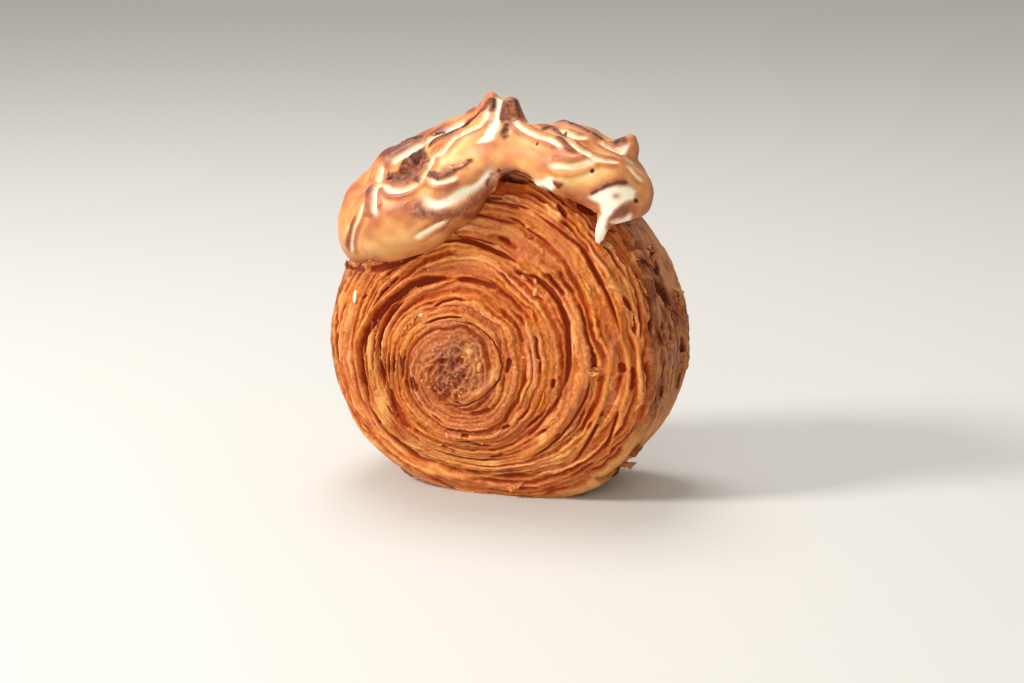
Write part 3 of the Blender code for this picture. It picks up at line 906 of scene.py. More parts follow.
def crumple_eye(height, groove, share, base, seed):
    """Turn the layers into crumpled lumps towards the coil's eye, and roughen everything a little."""
    eye = 1 - smooth_step(0.10, 0.27, share)
    swirl = base / (2.6 * MM) + 1.2 * noise(base / (5 * MM), seed + 14)[:, None]
    ridged = 1 - np.abs(noise(swirl, seed + 8))
    grit = layered_noise(base, 1.1 * MM, seed + 9, 2)
    lumps = 1.1 * ridged**3 - 0.5 + 0.55 * layered_noise(base, 6 * MM, seed + 15, 2) + 0.2 * grit
    height = height * (1 - 0.72 * eye) + (0.75 * lumps + 0.28 * grit) * eye + 0.15 * grit
    height = height + 0.10 * layered_noise(base, 2.2 * MM, seed + 16, 2)
    groove = groove * (1 - 0.6 * eye) + 0.5 * eye * (1 - ridged) + 0.25 * eye * np.maximum(-grit, 0)
    return height, np.clip(groove, 0, 1)


def laminated_relief(share, angle, side, base):
    """Height of the flaky layers above the smooth form, how deep in a groove each place is, and its tone."""
    seed = 10 if side < 0 else 400
    wander = 0.62 * noise(base / (13 * MM), seed) + 0.30 * noise(base / (4.6 * MM), seed + 1)
    wander = wander + 0.12 * noise(base / (1.3 * MM), seed + 11)
    parting = noise(base / (9 * MM), seed + 17) + 0.5 * noise(base / (3 * MM), seed + 18)
    parted = 0.30 + 0.70 * smooth_step(-0.40, 0.45, parting)
    lines = coil(share, angle) + wander
    across = lines - np.floor(lines)
    height, tone = sheet_levels(lines, across, angle, seed)
    height, groove = part_sheets(height, lines, across, angle, parted, seed)
    height, groove = part_thin_layers(height, groove, lines, angle, base, parted, seed)
    height, groove = part_windings(height, groove, lines, angle, side)
    height, groove = crumple_eye(height, groove, share, base, seed)
    # groove is the mask of painted shade in the cuts between sheets, layers and windings, and round the eye's
    # lumps
    return height * MM, groove, tone


def front_features(base, facing):
    """What the listed lines and spots do to the front.

    Gives the height, the covered share of the layers, the groove as painted shade, and pale, toast and tone.
    """
    height, cover, groove, pale, toast, tone = (np.zeros(len(base)) for _ in range(6))
    tree = roll_form()
    ragged = noise(base / (1.1 * MM), 300)
    wavy = noise(base / (3.5 * MM), 301)
    for width, depth, gap, ends in drawn_lines(FACE_GROOVES, tree, base, 3, 0.18):
        half = width * (0.35 + 0.65 * ends) * (1 + 0.22 * wavy + 0.12 * ragged)
        cut = ends**0.5 * np.exp(-((gap / half) ** (4 if width > 0.7 * MM else 2)))
        height = np.minimum(height, -depth * cut)
        cover = np.maximum(cover, cut)
        groove = np.maximum(groove, 0.85 * cut)
    for width, rise, gap, ends in drawn_lines(FACE_CRESTS, tree, base, 3, 0.15):
        crest = ends * bump(gap, 0, width * (1 + 0.12 * wavy))
        height = height + rise * crest * (1 - cover)
        cover = np.maximum(cover, 0.8 * crest)
        # crests a little paler: partly pale dough, partly painted highlight
        pale = np.maximum(pale, 0.12 * crest)
    groove = groove * facing
    pixels = to_pixels(base)
    for spots, mask in ((PALE_SPOTS, pale), (TOAST_SPOTS_FACE, toast)):
        for x, y, half_x, half_y, strength in spots:
            spot = strength * pixel_spot(pixels, x, y, 1.2 * half_x, 1.2 * half_y)
            np.maximum(mask, spot * (1 + 0.35 * wavy) * facing, out=mask)
    jitter = pixels + 0.9 * np.stack([ragged, noise(base / (1.3 * MM), 302)], -1)
    for rise, dark, light, lighter, corners in FRONT_PATCHES.values():
        share = inside_patch(jitter, corners, 1.0) * facing
        if rise < 0:
            height = height * (1 - share)
        height = height + rise * MM * share
        groove = np.maximum(groove * (1 - share), dark * share * (0.88 + 0.12 * ragged))
        pale = np.maximum(pale * (1 - share * (dark > 0)), light * share)
        cover = np.maximum(cover, share * (1 if dark > 0 else 0.7 if lighter > 0.5 else 0))
        tone = tone + lighter * share
    return height, cover, groove, pale * (1 - 0.8 * cover * (groove > 0.3)), toast, tone


def wrap_slits(angle, base, ring):
    """Where the outer wrap's slits are open, from 0 to 1."""
    slit = np.zeros_like(angle)
    for number, (from_deg, to_deg, from_y, to_y, width) in enumerate(WRAP_SLITS):
        middle = math.radians((from_deg + to_deg) / 2)
        half = math.radians(abs(to_deg - from_deg) / 2)
        gap = angle_gap(angle, middle)
        run = np.clip((gap / half + 1) / 2, 0, 1)
        low, high = (from_y, to_y) if from_deg < to_deg else (to_y, from_y)
        line = (low + (high - low) * run) * MM + 0.5 * MM * noise(ring / (4 * MM), 80 + number)
        open_share = np.sqrt(np.clip(1 - (gap / half) ** 2, 0, 1))
        across = np.abs(base[:, 1] - line) / (width * MM * np.maximum(open_share, 0.05))
        slit = np.maximum(slit, (1 - smooth_step(0.45, 1.0, across)) * (open_share > 0))
    return slit


def wrap_relief(path, angle, base):
    """Height of the outer wrap above the smooth form, its dark slits, and its tone."""
    ring = np.stack([np.cos(angle), np.sin(angle), np.zeros_like(angle)], -1) * ROLL_RADIUS
    away = np.stack([0 * path, 0 * path, path], -1)
    tilt = np.array(Matrix.Rotation(0.9, 3, (1, 2, 3)))
    sheet = (ring / (19 * MM) + away / (3.2 * MM)) @ tilt
    streak = ring / (9 * MM) + away / (1.1 * MM)
    plates = (ring / (8 * MM) + away / (3.4 * MM)) @ tilt
    plates = plates + 0.5 * noise(base / (2.4 * MM) @ tilt, 75)[:, None]
    plate = smooth_step(-0.06, 0.06, noise(plates, 76)) + smooth_step(0.30, 0.42, noise(1.4 * plates, 77))
    crags = 0.30 + 0.45 * bump(angle_gap(angle, -0.15), 0, 0.8)
    height = 0.40 * noise(sheet, 71) + 0.04 * noise(streak, 72) + 0.35 * layered_noise(base, 9 * MM, 73, 2)
    height = height + 0.34 * plate * crags + 0.05 * layered_noise(base, 1.2 * MM, 78, 2)
    tone = 0.5 * noise(sheet, 74) + 0.35 * (plate - 0.8)
    slit = wrap_slits(angle, base, ring)
    return (height - SLIT_DEPTH * slit) * MM, slit, tone


def strand_reach(angle):
    """Length of path past the front face's edge where layers still show, longer at the upper right."""
    return (7.5 + 13 * bump(angle_gap(angle, math.radians(43)), 0, 0.42)) * MM


def torn_edge(path, angle, side, base):
    """How far each place lies past the wrap's torn edge, and how torn the edge is there."""
    reach = strand_reach(angle) if side < 0 else BACK_REACH
    wander = 1.6 * noise(base / (9 * MM), 90) + 0.8 * noise(base / (2.4 * MM), 91)
    wander = wander + 0.25 * noise(base / (0.8 * MM), 92)
    torn = smooth_step(-0.3, 0.3, noise(base / (7 * MM), 93))
    if side < 0:
        torn = torn * (1 - 0.8 * bump(angle_gap(angle, 0.55), 0, 0.45))
    return path - reach + wander * MM, torn


def back_tints(base):
    """Pale and toasted places of the back face."""
    from_eye = np.hypot(base[:, 0] - BACK_EYE[0], base[:, 2] - BACK_EYE[1]) / MM
    pale = 0.6 * smooth_step(0.35, 0.8, noise(base / (9 * MM), 131))
    return pale, 0.75 * (1 - smooth_step(7, 20, from_eye))


def roll_surface(share, path, angle, side):
    """Displaced places on the roll, and the masks of its material.

    share counts from the eye to the face's edge and stays 1 past it, where path is the length from that edge.
    """
    base, normal = form_place(share, path, angle, side)
    layers, groove, tone = laminated_relief(share + path / SHARE_LENGTH, angle, side, base)
    wrap, slit, wrap_tone = wrap_relief(path, angle, base)
    edge, torn = torn_edge(path, angle, side, base)
    wrapped = smooth_step(0.0, 1.1 * MM, edge)
    height = layers * (1 - wrapped) + (wrap + 0.35 * MM) * wrapped
    height = height - 0.5 * MM * torn * bump(edge, -0.5 * MM, 0.7 * MM)
    # the wrap's slits, and the line along its torn edge, are painted dark as shade through the groove mask
    groove = groove * (1 - wrapped) + slit * wrapped
    groove = np.maximum(groove, 0.75 * torn * bump(edge, -0.3 * MM, 0.6 * MM))
    tone = tone * (1 - wrapped) + wrap_tone * wrapped
    pale, toast = back_tints(base) if side > 0 else (np.zeros_like(share), np.zeros_like(share))
    if side < 0 or path.max() > 0:
        way = AIM + CAMERA_DISTANCE * camera_axes()[2] - base
        facing = smooth_step(-0.05, 0.10, np.einsum("ij,ij->i", way, normal) / CAMERA_DISTANCE)
        raised, cover, cut, lighter, darker, brighter = front_features(base, facing)
        tone = tone + brighter
        pale, toast = np.maximum(pale, lighter), np.maximum(toast, darker)
        height = height * (1 - cover) + raised
        groove = np.maximum(groove * (1 - 0.9 * cover), cut)
    height = height + 0.55 * MM * noise(base / (15 * MM), 95) * (1 - wrapped)
    toast = toast + 0.22 * np.maximum(layered_noise(base, 8 * MM, 120, 2), 0)
    x, z = base[:, 0] / MM, base[:, 2] / MM
    light = 0.30 * smooth_step(20, 42, -x) + 0.22 * smooth_step(30, 8, z)
    low_wall = wrapped * smooth_step(34, 15, z) * 0.72
    masks = {
        "groove": np.clip(groove, 0, 1),
        "toast": np.clip(toast * (1 - wrapped), 0, 1),
        "pale": np.clip(np.maximum((pale + 0.3 * light) * (1 - wrapped), low_wall), 0, 1),
        "wall": wrapped,
    }
    return flat_foot(base + normal * height[:, None]), masks, 0.5 + 0.5 * tone


# The roll's skins


def ring_triangles(first, count, second, second_count):
    """Triangles between two rings, where the second has as many points as the first, or twice or half."""
    i = np.arange(max(count, second_count))
    n = len(i)
    a = first + (i * count // n)
    a_next = first + (((i + 1) * count // n) % count)
    b = second + (i * second_count // n)
    b_next = second + (((i + 1) * second_count // n) % second_count)
    near = np.stack([a, b, b_next], 1)[b != b_next]
    far = np.stack([a, b_next, a_next], 1)[a != a_next]
    return np.concatenate([near, far])


def shade_by_relief(points, triangles, masks, tone, on_seam):
    """Painted shade in the grooves and painted highlight on the crests, except on the seam between two skins.
    """
    soft = neighbour_mean(points, triangles, 9)
    stands_out = np.einsum("ij,ij->i", points - soft, normals_of(soft, triangles)) / (0.45 * MM)
    stands_out = np.where(on_seam, 0.0, stands_out)
    # hollows get painted shade through the groove mask, crests a painted highlight through the tone
    masks["groove"] = np.clip(masks["groove"] + 0.36 * np.clip(-stands_out, 0, 0.8), 0, 1)
    return tone + 0.26 * np.clip(stands_out, -0.5, 0.8)


def roll_piece(name, rings, side, material, turned_over):
    """A piece of the roll from rings of (share, path, number of points). A face's first ring is closed."""
    counts = [points for _, _, points in rings]
    starts = np.cumsum([0] + counts)
    share, path = (np.repeat([ring[k] for ring in rings], counts) for k in range(2))
    angle = np.concatenate([np.arange(count) * TURN / count for count in counts])
    triangles = [ring_triangles(*pair) for pair in zip(starts, counts, starts[1:], counts[1:])]
    points, masks, tone = roll_surface(share, path, angle, side)
    if counts[0] == EYE_POINTS:
        ring = np.arange(EYE_POINTS)
        triangles.append(np.stack([np.full_like(ring, len(points)), ring, np.roll(ring, -1)], 1))
        points = np.concatenate([points, points[ring].mean(0, keepdims=True)])
        masks = {key: np.append(value, value[ring].mean()) for key, value in masks.items()}
        tone = np.append(tone, 0.3)
        share, path, angle = (np.append(values, 0.0) for values in (share, path, angle))
    triangles = np.concatenate(triangles)
    if turned_over:
        triangles = triangles[:, ::-1]
    on_seam = (path > 0) & (np.abs(points[:, 1]) < 1 * MM)
    tone = shade_by_relief(points, triangles, masks, tone, on_seam)
    made = mesh_piece(name, points, triangles, material)
    set_pastry_attributes(made.data, masks, tone, share, path, angle, side)
    return made


def set_pastry_attributes(mesh, masks, tone, share, path, angle, side):
    """What the pastry's material reads. Its flow runs slowly round the coil and fast across the layers."""
    set_colour(mesh, "masks", masks["groove"], masks["toast"], masks["pale"])
    set_number(mesh, "wall", masks["wall"])
    set_number(mesh, "tone", tone)
    radial = (share * SHARE_LENGTH + path) / MM
    flow = [np.cos(angle) * radial * 0.11, np.sin(angle) * radial * 0.11, radial * 1.15 + side * 40]
    set_values(mesh, "flow", "FLOAT_VECTOR", "vector", np.stack(flow, -1))


def face_rings(rows, edge_points):
    """Rings from a face's eye to its edge, with more points where the ring is longer."""
    rings = []
    for share in np.linspace(EYE_HOLE, 1.0, rows):
        if share < 0.035:
            points = EYE_POINTS
        elif share < 0.12:
            points = 2 * EYE_POINTS
        elif share < 0.3:
            points = 4 * EYE_POINTS
        else:
            points = edge_points
        rings.append((share, 0.0, points))
    return rings


def make_roll():
    """The roll's four skins, in place of its solid. Gives the front face, the back face and the front rim."""
    pastry = pastry_material()
    middle = ROUNDING_PATH + RIM_PATH / 2
    back_rings = face_rings(BACK_FACE_ROWS, 4 * EYE_POINTS)
    back_rings[-1] = (1.0, 0.0, RIM_POINTS)
    front_paths = np.linspace(0, middle, FRONT_RIM_ROWS)
    back_paths = np.linspace(middle, 0, BACK_RIM_ROWS)
    front = roll_piece("pastry_front_face", face_rings(FRONT_FACE_ROWS, RIM_POINTS), -1, pastry, False)
    front_rim = roll_piece("pastry_front_rim", [(1.0, p, RIM_POINTS) for p in front_paths], -1, pastry, False)
    back_rim = roll_piece("pastry_back_rim", [(1.0, p, RIM_POINTS) for p in back_paths], 1, pastry, False)
    back = roll_piece("pastry_back_face", back_rings, 1, pastry, True)
    for piece in (front, front_rim, back_rim, back):
        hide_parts("pastry_roll")
        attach(piece, "root")
    return front, back, front_rim


# Flakes and crumbs


# Torn flakes that the photograph shows: side, angle in degrees, then path past the face's edge, length, width
# and lift in millimetres, and the way they point in degrees, 0 along the coil and 90 away from the face
SHOWN_FLAKES = [
    (-1, 31, 21, 9, 5.0, 1.5, 190), (-1, 27, 17, 7, 4.0, 1.2, 200), (1, 12, 22, 9, 5.0, 1.5, 190),
    (1, 16, 17, 7, 4.0, 1.3, 170), (-1, 22, 14, 8, 3.0, 1.1, 250), (-1, 4, 16, 8, 3.5, 1.2, 240),
    (-1, -43, 17, 3, 2.8, 2.2, 30), (-1, -45, 19, 2.2, 3.0, 1.4, 40), (-1, -36, 15, 5, 3.0, 1.6, 80),
    (-1, -61, 13, 5, 3.0, 1.2, 100), (-1, 43, 12, 9, 4.5, 0.7, 260), (-1, -4, -8, 3.2, 3.0, 1.6, 85),
    (-1, 28, 6, 8, 3.0, 0.7, 260), (-1, 15, 4, 9, 2.2, 1.0, 80), (-1, -16, 5, 8, 2.0, 0.9, 90),
    (-1, 152, 1, 7, 2.2, 1.0, 70), (-1, 196, 4, 9, 2.0, 0.8, 90), (-1, -78, 3, 7, 2.4, 0.9, 80),
    (-1, -95, 6, 8, 2.2, 0.8, 90),
]
# Crumbs that the photograph shows: pixel, half sizes in millimetres, lean in degrees and lightness
SHOWN_CRUMBS = {
    "white_fleck": (355, 296.5, 0.55, 2.4, 4, 1.0),
    "crumb_on_disc": (421, 315, 0.8, 0.7, 0, 0.6),
    "bump_1": (524.5, 278, 0.8, 1.1, 30, 0.3),
    "bump_2": (535.5, 281, 0.55, 1.1, -20, 0.4),
    "bump_3": (535, 292, 0.7, 1.4, -30, 0.35),
    "pale_in_core_1": (471, 352, 0.9, 0.7, 20, 0.5),
    "pale_in_core_2": (480, 366, 0.6, 1.6, -25, 0.45),
}


def flake_list():
    """The flakes that the photograph shows, and small ones on the rim and along the layers of the faces."""
    draw = np.random.default_rng(20)
    flakes = list(SHOWN_FLAKES)
    for number in range(RIM_FLAKES):
        side = -1 if number % 2 else 1
        place = (draw.uniform(-85, 265), draw.uniform(12, 29))
        size = (draw.uniform(4, 9), draw.uniform(1.6, 3.6), draw.uniform(0.4, 1.0))
        turn = draw.choice([10, 80, 100, 170, 190, 260, 280]) + draw.uniform(-12, 12)
        flakes.append((side, *place, *size, turn))
    for number in range(FACE_FLAKES):
        side = -1 if number % 2 else 1
        place = (draw.uniform(-180, 180), -draw.uniform(0.5, 26))
        size = (draw.uniform(3, 9), draw.uniform(0.8, 1.6), draw.uniform(0.35, 0.8))
        turn = 90 + draw.choice([0, 180]) + draw.uniform(-8, 8)
        flakes.append((side, *place, *size, turn))
    return flakes


def flake_places(flake, seed):
    """Share, path and angle of a flake's grid, and how far along it to its free edge each place lies."""
    _, degrees, start, length, width, _, turn = flake
    across = np.linspace(-1, 1, FLAKE_GRID[0])
    onward = np.linspace(-0.3, 1, FLAKE_GRID[1])
    u, v = (grid.ravel() for grid in np.meshgrid(across, onward, indexing="ij"))
    torn = 0.75 + 0.45 * noise(np.stack([1.7 * u, 0 * u, seed + 0 * u], -1), 500)
    torn = torn + 0.12 * noise(np.stack([5.5 * u, 0 * u, seed + 0 * u], -1), 501)
    ends = 1 + 0.25 * noise(np.stack([0 * v, 2.5 * v, seed + 0 * v], -1), 502)
    along = u * length / 2 * ends * (1 - 0.25 * np.maximum(v, 0))
    out = v * width * np.where(v > 0, torn * np.sqrt(np.clip(1 - 0.8 * u**2, 0, 1)), 1)
    turned = math.radians(turn)
    path = start + out * math.sin(turned) - along * math.cos(turned)
    round_way = out * math.cos(turned) + along * math.sin(turned)
    radius = max(8.0, 48.0 + min(start, 0.0))
    angle = math.radians(degrees) + round_way / radius
    share = np.clip(1 + path * MM / SHARE_LENGTH, 0.05, 1.0)
    return share, np.maximum(path, 0) * MM, angle, v


def flake_triangles():
    """Triangles of one flake: an upper grid, the same grid turned over below it, and the walls round them."""
    grid = np.arange(FLAKE_SIZE).reshape(FLAKE_GRID)
    a, b, c, d = grid[:-1, :-1].ravel(), grid[1:, :-1].ravel(), grid[1:, 1:].ravel(), grid[:-1, 1:].ravel()
    upper = np.concatenate([np.stack([a, b, c], 1), np.stack([a, c, d], 1)])
    rim = np.concatenate([grid[:, 0], grid[-1, 1:], grid[-2::-1, -1], grid[0, -2:0:-1]])
    after = np.roll(rim, -1)
    below, below_after = rim + FLAKE_SIZE, after + FLAKE_SIZE
    walls = np.concatenate([np.stack([rim, below, after], 1), np.stack([after, below, below_after], 1)])
    return np.concatenate([upper, upper[:, ::-1] + FLAKE_SIZE, walls])


def paired(upper, lower):
    """Rows of two grids in turn: the upper rows of a flake, then its lower rows, then the next flake's."""
    width = upper.shape[1]
    pair = [rows.reshape(-1, FLAKE_SIZE, width) for rows in (upper, lower)]
    return np.concatenate(pair, axis=1).reshape(-1, width)


def flakes_of(side, flakes):
    """Places and material values of all the flakes on one side."""
    chosen = [(number, flake) for number, flake in enumerate(flakes) if flake[0] == side]
    placed = [flake_places(flake, number) for number, flake in chosen]
    share, path, angle, onward = (np.concatenate(column) for column in zip(*placed))
    free = np.maximum(onward, 0)
    skin, masks, tone = roll_surface(share, path, angle, side)
    normal = form_place(share, path, angle, side)[1]
    lift = np.repeat([flake[5] for _, flake in chosen], FLAKE_SIZE) * MM
    wave = 0.3 * noise(skin / (2 * MM), 510)
    rise = np.where(onward < 0, 2.4 * onward * MM, 0.08 * MM + lift * free**1.6 * (1 + wave))
    top = skin + normal * rise[:, None]
    bottom = top - normal * (0.32 - 0.16 * free)[:, None] * MM
    number = np.repeat([number for number, _ in chosen], FLAKE_SIZE)
    lighter = 0.16 * hashed(np.stack([number, 0 * number, 0 * number], -1), 520)
    # a little of the skin's painted groove shade at the flake's root
    groove = 0.25 * masks["groove"] * (onward < 0.2)
    scorched = 0.5 * smooth_step(0.7, 1.0, onward) * (number % 3 == 0)
    toast = np.clip(0.5 * masks["toast"] + scorched, 0, 1)
    pale = np.clip(lighter + 0.1 * free, 0, 1) * (1 - 0.8 * masks["wall"])
    sides = np.full(len(share), side)
    values = [groove, toast, pale, masks["wall"], tone + 0.25 * free, share, path, angle, sides]
    values = np.stack(values, -1)
    return paired(top, bottom), paired(values, values)


def make_flakes():
    """Thin torn flakes that lift off the roll's skin, with their roots in it."""
    flakes = flake_list()
    closed = flake_triangles()
    triangles = np.concatenate([closed + 2 * FLAKE_SIZE * number for number in range(len(flakes))])
    points, values = (np.concatenate(both) for both in zip(flakes_of(-1, flakes), flakes_of(1, flakes)))
    made = mesh_piece("pastry_flakes", flat_foot(points), triangles, bpy.data.materials["baked_lamination"])
    masks = dict(zip(("groove", "toast", "pale", "wall"), values.T))
    set_pastry_attributes(made.data, masks, *values.T[4:])
    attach(made, "root")


def crumb_spots(skins):
    """Crumbs at their pixels and strewn on both faces: place, normal, half sizes, lean and lightness."""
    depsgraph = bpy.context.evaluated_depsgraph_get()
    trees = [BVHTree.FromObject(skin, depsgraph) for skin in skins]
    draw = np.random.default_rng(31)
    spots = []
    for x, y, half_wide, half_tall, lean, light in SHOWN_CRUMBS.values():
        eye, rays = pixel_rays([(x, y)])
        hits = [tree.ray_cast(Vector(eye), Vector(rays[0])) for tree in trees]
        place, normal, _, _ = min((hit for hit in hits if hit[0] is not None), key=lambda hit: hit[3])
        spots.append((place, normal, half_wide, half_tall, lean, light))
    for number in range(STREWN_CRUMBS):
        side = -1 if number % 2 else 1
        share, angle = np.array([draw.uniform(0.1, 0.97)]), np.array([draw.uniform(0, TURN)])
        base, normal = form_place(share, np.zeros(1), angle, side)
        start = Vector(base[0] + 8 * MM * normal[0])
        place, found, _, _ = trees[0 if side < 0 else 1].ray_cast(start, -Vector(normal[0]))
        half = draw.uniform(0.2, 0.42)
        half_tall = half * draw.uniform(1.0, 1.8)
        lean, light = draw.uniform(0, 180), draw.uniform(0.1, 0.5)
        if place is not None:
            spots.append((place, found, half, half_tall, lean, light))
    return spots


def make_crumbs(skins):
    """Small crumbs lying on the roll's skins, which are the front face, the back face and the front rim."""
    form = bmesh.new()
    tones = []
    for place, normal, half_wide, half_tall, lean, light in crumb_spots(skins):
        facing = normal.to_track_quat("Y", "Z").to_matrix().to_4x4()
        turn = facing @ Matrix.Rotation(math.radians(lean), 4, "Y")
        size = Matrix.Diagonal((half_wide * MM, 0.6 * half_wide * MM, half_tall * MM, 1))
        placed = Matrix.Translation(place) @ turn @ size
        crumb = bmesh.ops.create_icosphere(form, subdivisions=2, radius=1.0, matrix=placed)["verts"]
        for vertex in crumb:
            bump_out = 1 + 0.3 * float(noise(np.array(vertex.co)[None] / (0.5 * MM), 530)[0])
            vertex.co = place + (vertex.co - place) * bump_out
        tones += [light] * len(crumb)
    mesh = bpy.data.meshes.new("pastry_crumbs")
    form.to_mesh(mesh)
    form.free()
    set_number(mesh, "tone", tones)
    mesh.shade_smooth()
    mesh.materials.append(crumb_material())
    made = bpy.data.objects.new("pastry_crumbs", mesh)
    bpy.context.scene.collection.objects.link(made)
    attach(made, "root")


# The meringue


# Strokes of the piping bag and knife: knots of x, y, z and radius in millimetres
MERINGUE_STROKES = {
    "crown_left": [(-35, -9, 80, 8), (-28, -8, 88, 9), (-16, -9, 95, 10), (0, -11, 98, 10.5)],
    "crown_right": [(0, -11, 97, 10.5), (14, -9, 94.6, 9.5), (25, -9, 95, 9.5), (36, -12, 91, 8.5)],
    "left_bulb": [(-38, -16, 73, 8.5), (-38, -13, 81, 8.5)],
    "left_lobe": [(-35, -21, 78, 9.5), (-29, -24, 78.5, 11), (-19, -25, 82, 11), (-9, -25, 89, 9)],
    "lobe_tail": [(-9, -25, 89, 9), (1, -24, 98, 5)],
    "right_arm": [(3, -24, 99, 4.6), (14, -24, 99.6, 5.5), (25, -25, 97, 7.2), (36, -22, 93, 7.5)],
    "right_bulb": [(36, -22, 93, 7), (41, -18, 90.5, 6.5)],
    "lower_right_lip": [(43, -19, 88, 4), (38, -24, 87, 3.2)],
    "drip": [(40, -24, 87.5, 3.4), (36.7, -24.5, 84.2, 2.2), (34.3, -23, 80.2, 1.5),
        (32.9, -20.3, 76.7, 1.25)],
    "horn": [(35, -14, 97, 6), (39, -14, 102, 3.4), (40, -14, 104.2, 2)],
    "left_ridge": [(-36, -12, 87, 5), (-31, -12, 93.6, 5), (-22, -12, 97.4, 4.6), (-13, -13, 102.8, 3.8)],
    "left_slope": [(-13, -13, 102.8, 3.8), (-5, -14, 108.5, 2.9)],
    "right_ridge": [(6, -13, 102, 4.5), (13, -13, 101, 4), (20, -13, 104.6, 4), (27, -13, 101, 5)],
    "right_slope": [(27, -13, 101, 5), (33, -14, 98, 5)],
    "peak": [(1, -14, 101, 9), (1, -14, 107, 6), (-0.5, -15, 111.5, 3.4), (-0.8, -15, 114.6, 1.8)],
    "front_slope": [(-9, -19, 95, 9), (3, -19.5, 99, 8.5), (15, -19, 100, 8), (27, -18, 97.5, 7.5)],
    "peak_foot": [(1.5, -15, 106, 5.5), (3, -20, 100, 6)],
    "peak_finger": [(3, -14, 104, 5.4), (4.8, -14, 109.5, 3.0), (5.2, -14, 112.9, 2.1)],
    "top": [(-26, 4, 86, 9), (0, 5, 91.5, 9), (26, 4, 87, 9)],
    "top_back": [(-29, 12, 82, 8.5), (-12, 14, 90, 8.5), (4, 15, 91, 8.5), (18, 14, 89, 8), (30, 11, 83, 8)],
    "back_drape": [(-24, 19, 82, 6.5), (-11, 22, 86, 6.5), (2, 22, 84, 7), (15, 22, 87, 6), (24, 17, 84, 6)],
}
# Lines on the torched skin, as pixels of the photograph, with a half width and a depth or height in
# millimetres before them. Each is cast onto the form of the strokes. The burnt lines with a negative height are
# dark painted shade along creases, at half strength.
WHITE_CREASES = {
    "under_thin_ridge": (0.75, 0.9, [(489, 109), (486, 119), (480, 126), (471, 131), (462, 135), (454, 139),
        (447, 146), (442, 153), (435, 156)]),
    "above_thin_ridge": (0.6, 0.5, [(467, 123), (455, 127), (443, 132), (434, 136), (426, 143)]),
    "over_patch": (1.0, 0.8, [(424, 145), (417, 148), (410, 152), (401, 156), (392, 163)]),
    "round_patch": (0.75, 1.1, [(433, 157), (431, 165), (426, 173), (421, 180), (412, 187), (402, 191),
        (391, 191), (383, 186)]),
    "upright": (0.75, 0.9, [(382, 166), (379, 177), (376, 189), (374, 201), (374, 209), (377, 214)]),
    "under_crescent": (0.5, 0.6, [(428, 179), (436, 183), (445, 182), (456, 178)]),
    "long": (1.3, 0.8, [(492, 170), (486, 178), (478, 186), (468, 191), (458, 196), (447, 202), (437, 205),
        (428, 203), (423, 198)]),
    "lower": (0.6, 0.5, [(446, 221), (436, 226), (426, 232), (415, 238)]),
    "left_fold": (0.58, 0.9, [(363, 204), (360, 215), (355, 226), (352, 239), (351, 252)]),
    "peak_side": (0.9, 0.6, [(498, 97), (498, 107), (497, 117), (495, 128)]),
    "finger_to_right": (0.62, 0.9, [(512, 118), (517, 126), (527, 132), (537, 136), (547, 139), (555, 143),
        (562, 147)]),
    "right_cream": (0.8, 0.6, [(560, 130), (567, 135), (577, 138), (586, 138)]),
    "right_slant": (0.6, 0.8, [(568, 142), (576, 148), (586, 155), (595, 159), (603, 161), (618, 162)]),
    "right_long": (0.75, 1.1, [(549, 165), (560, 166), (570, 167), (580, 165), (589, 162), (598, 160)]),
    "to_horn": (0.6, 0.7, [(599, 142), (606, 148), (615, 152), (624, 153)]),
    "bulge_top": (0.5, 0.5, [(627, 166), (636, 177), (642, 181)]),
    "right_lower_edge": (0.7, 0.5, [(532, 180), (541, 184), (548, 190), (556, 197)]),
}
BURNT_RIDGES_AND_SHADE_LINES = {
    "thin_ridge": (0.42, 0.7, [(494, 96), (491, 99), (485, 108), (477, 116), (469, 122), (460, 129),
        (450, 134), (441, 138), (434, 142), (428, 147)]),
    "beside_peak": (0.6, 0.5, [(494, 98), (493, 106), (491, 113)]),
    "outline_left": (0.7, 0.6, [(364, 171), (368, 165), (373, 160), (378, 154), (382, 150), (389, 145),
        (398, 142), (408, 140), (418, 139), (426, 135)]),
    "second_line": (0.3, 0.25, [(446, 131), (438, 133), (430, 136)]),
    "finger_edge": (0.55, 0.4, [(512, 98), (516, 102), (518, 109), (518, 118)]),
    "finger_left": (0.5, 0.35, [(505, 101), (503, 109), (501, 117), (503, 125)]),
    "right_blotch": (0.5, 0.5, [(541, 130), (549, 127), (554, 130), (560, 135), (567, 138)]),
    "right_grain": (0.45, 0.3, [(556, 137), (562, 141), (567, 145), (574, 150)]),
    "outline_right": (0.6, 0.5, [(556, 122), (568, 120), (577, 126), (587, 131), (596, 136), (605, 141)]),
    "horn_slope": (1.1, 0.4, [(613, 146), (619, 141), (626, 138)]),
    "fold_shade": (0.25, -0.5, [(357, 216), (353, 224), (350, 236), (348, 246), (350, 254)]),
    "bowl_edge": (0.45, 0.35, [(590, 194), (597, 190), (607, 185), (617, 182), (628, 183)]),
    "crescent_tail": (0.35, 0.2, [(451, 171), (457, 169), (463, 167), (468, 163)]),
    "crease_shade": (0.55, -0.5, [(493, 173), (490, 180), (486, 186)]),
    "notch_edge": (0.35, 0.3, [(499, 175), (504, 172), (515, 170.5), (526, 174), (534, 179)]),
}
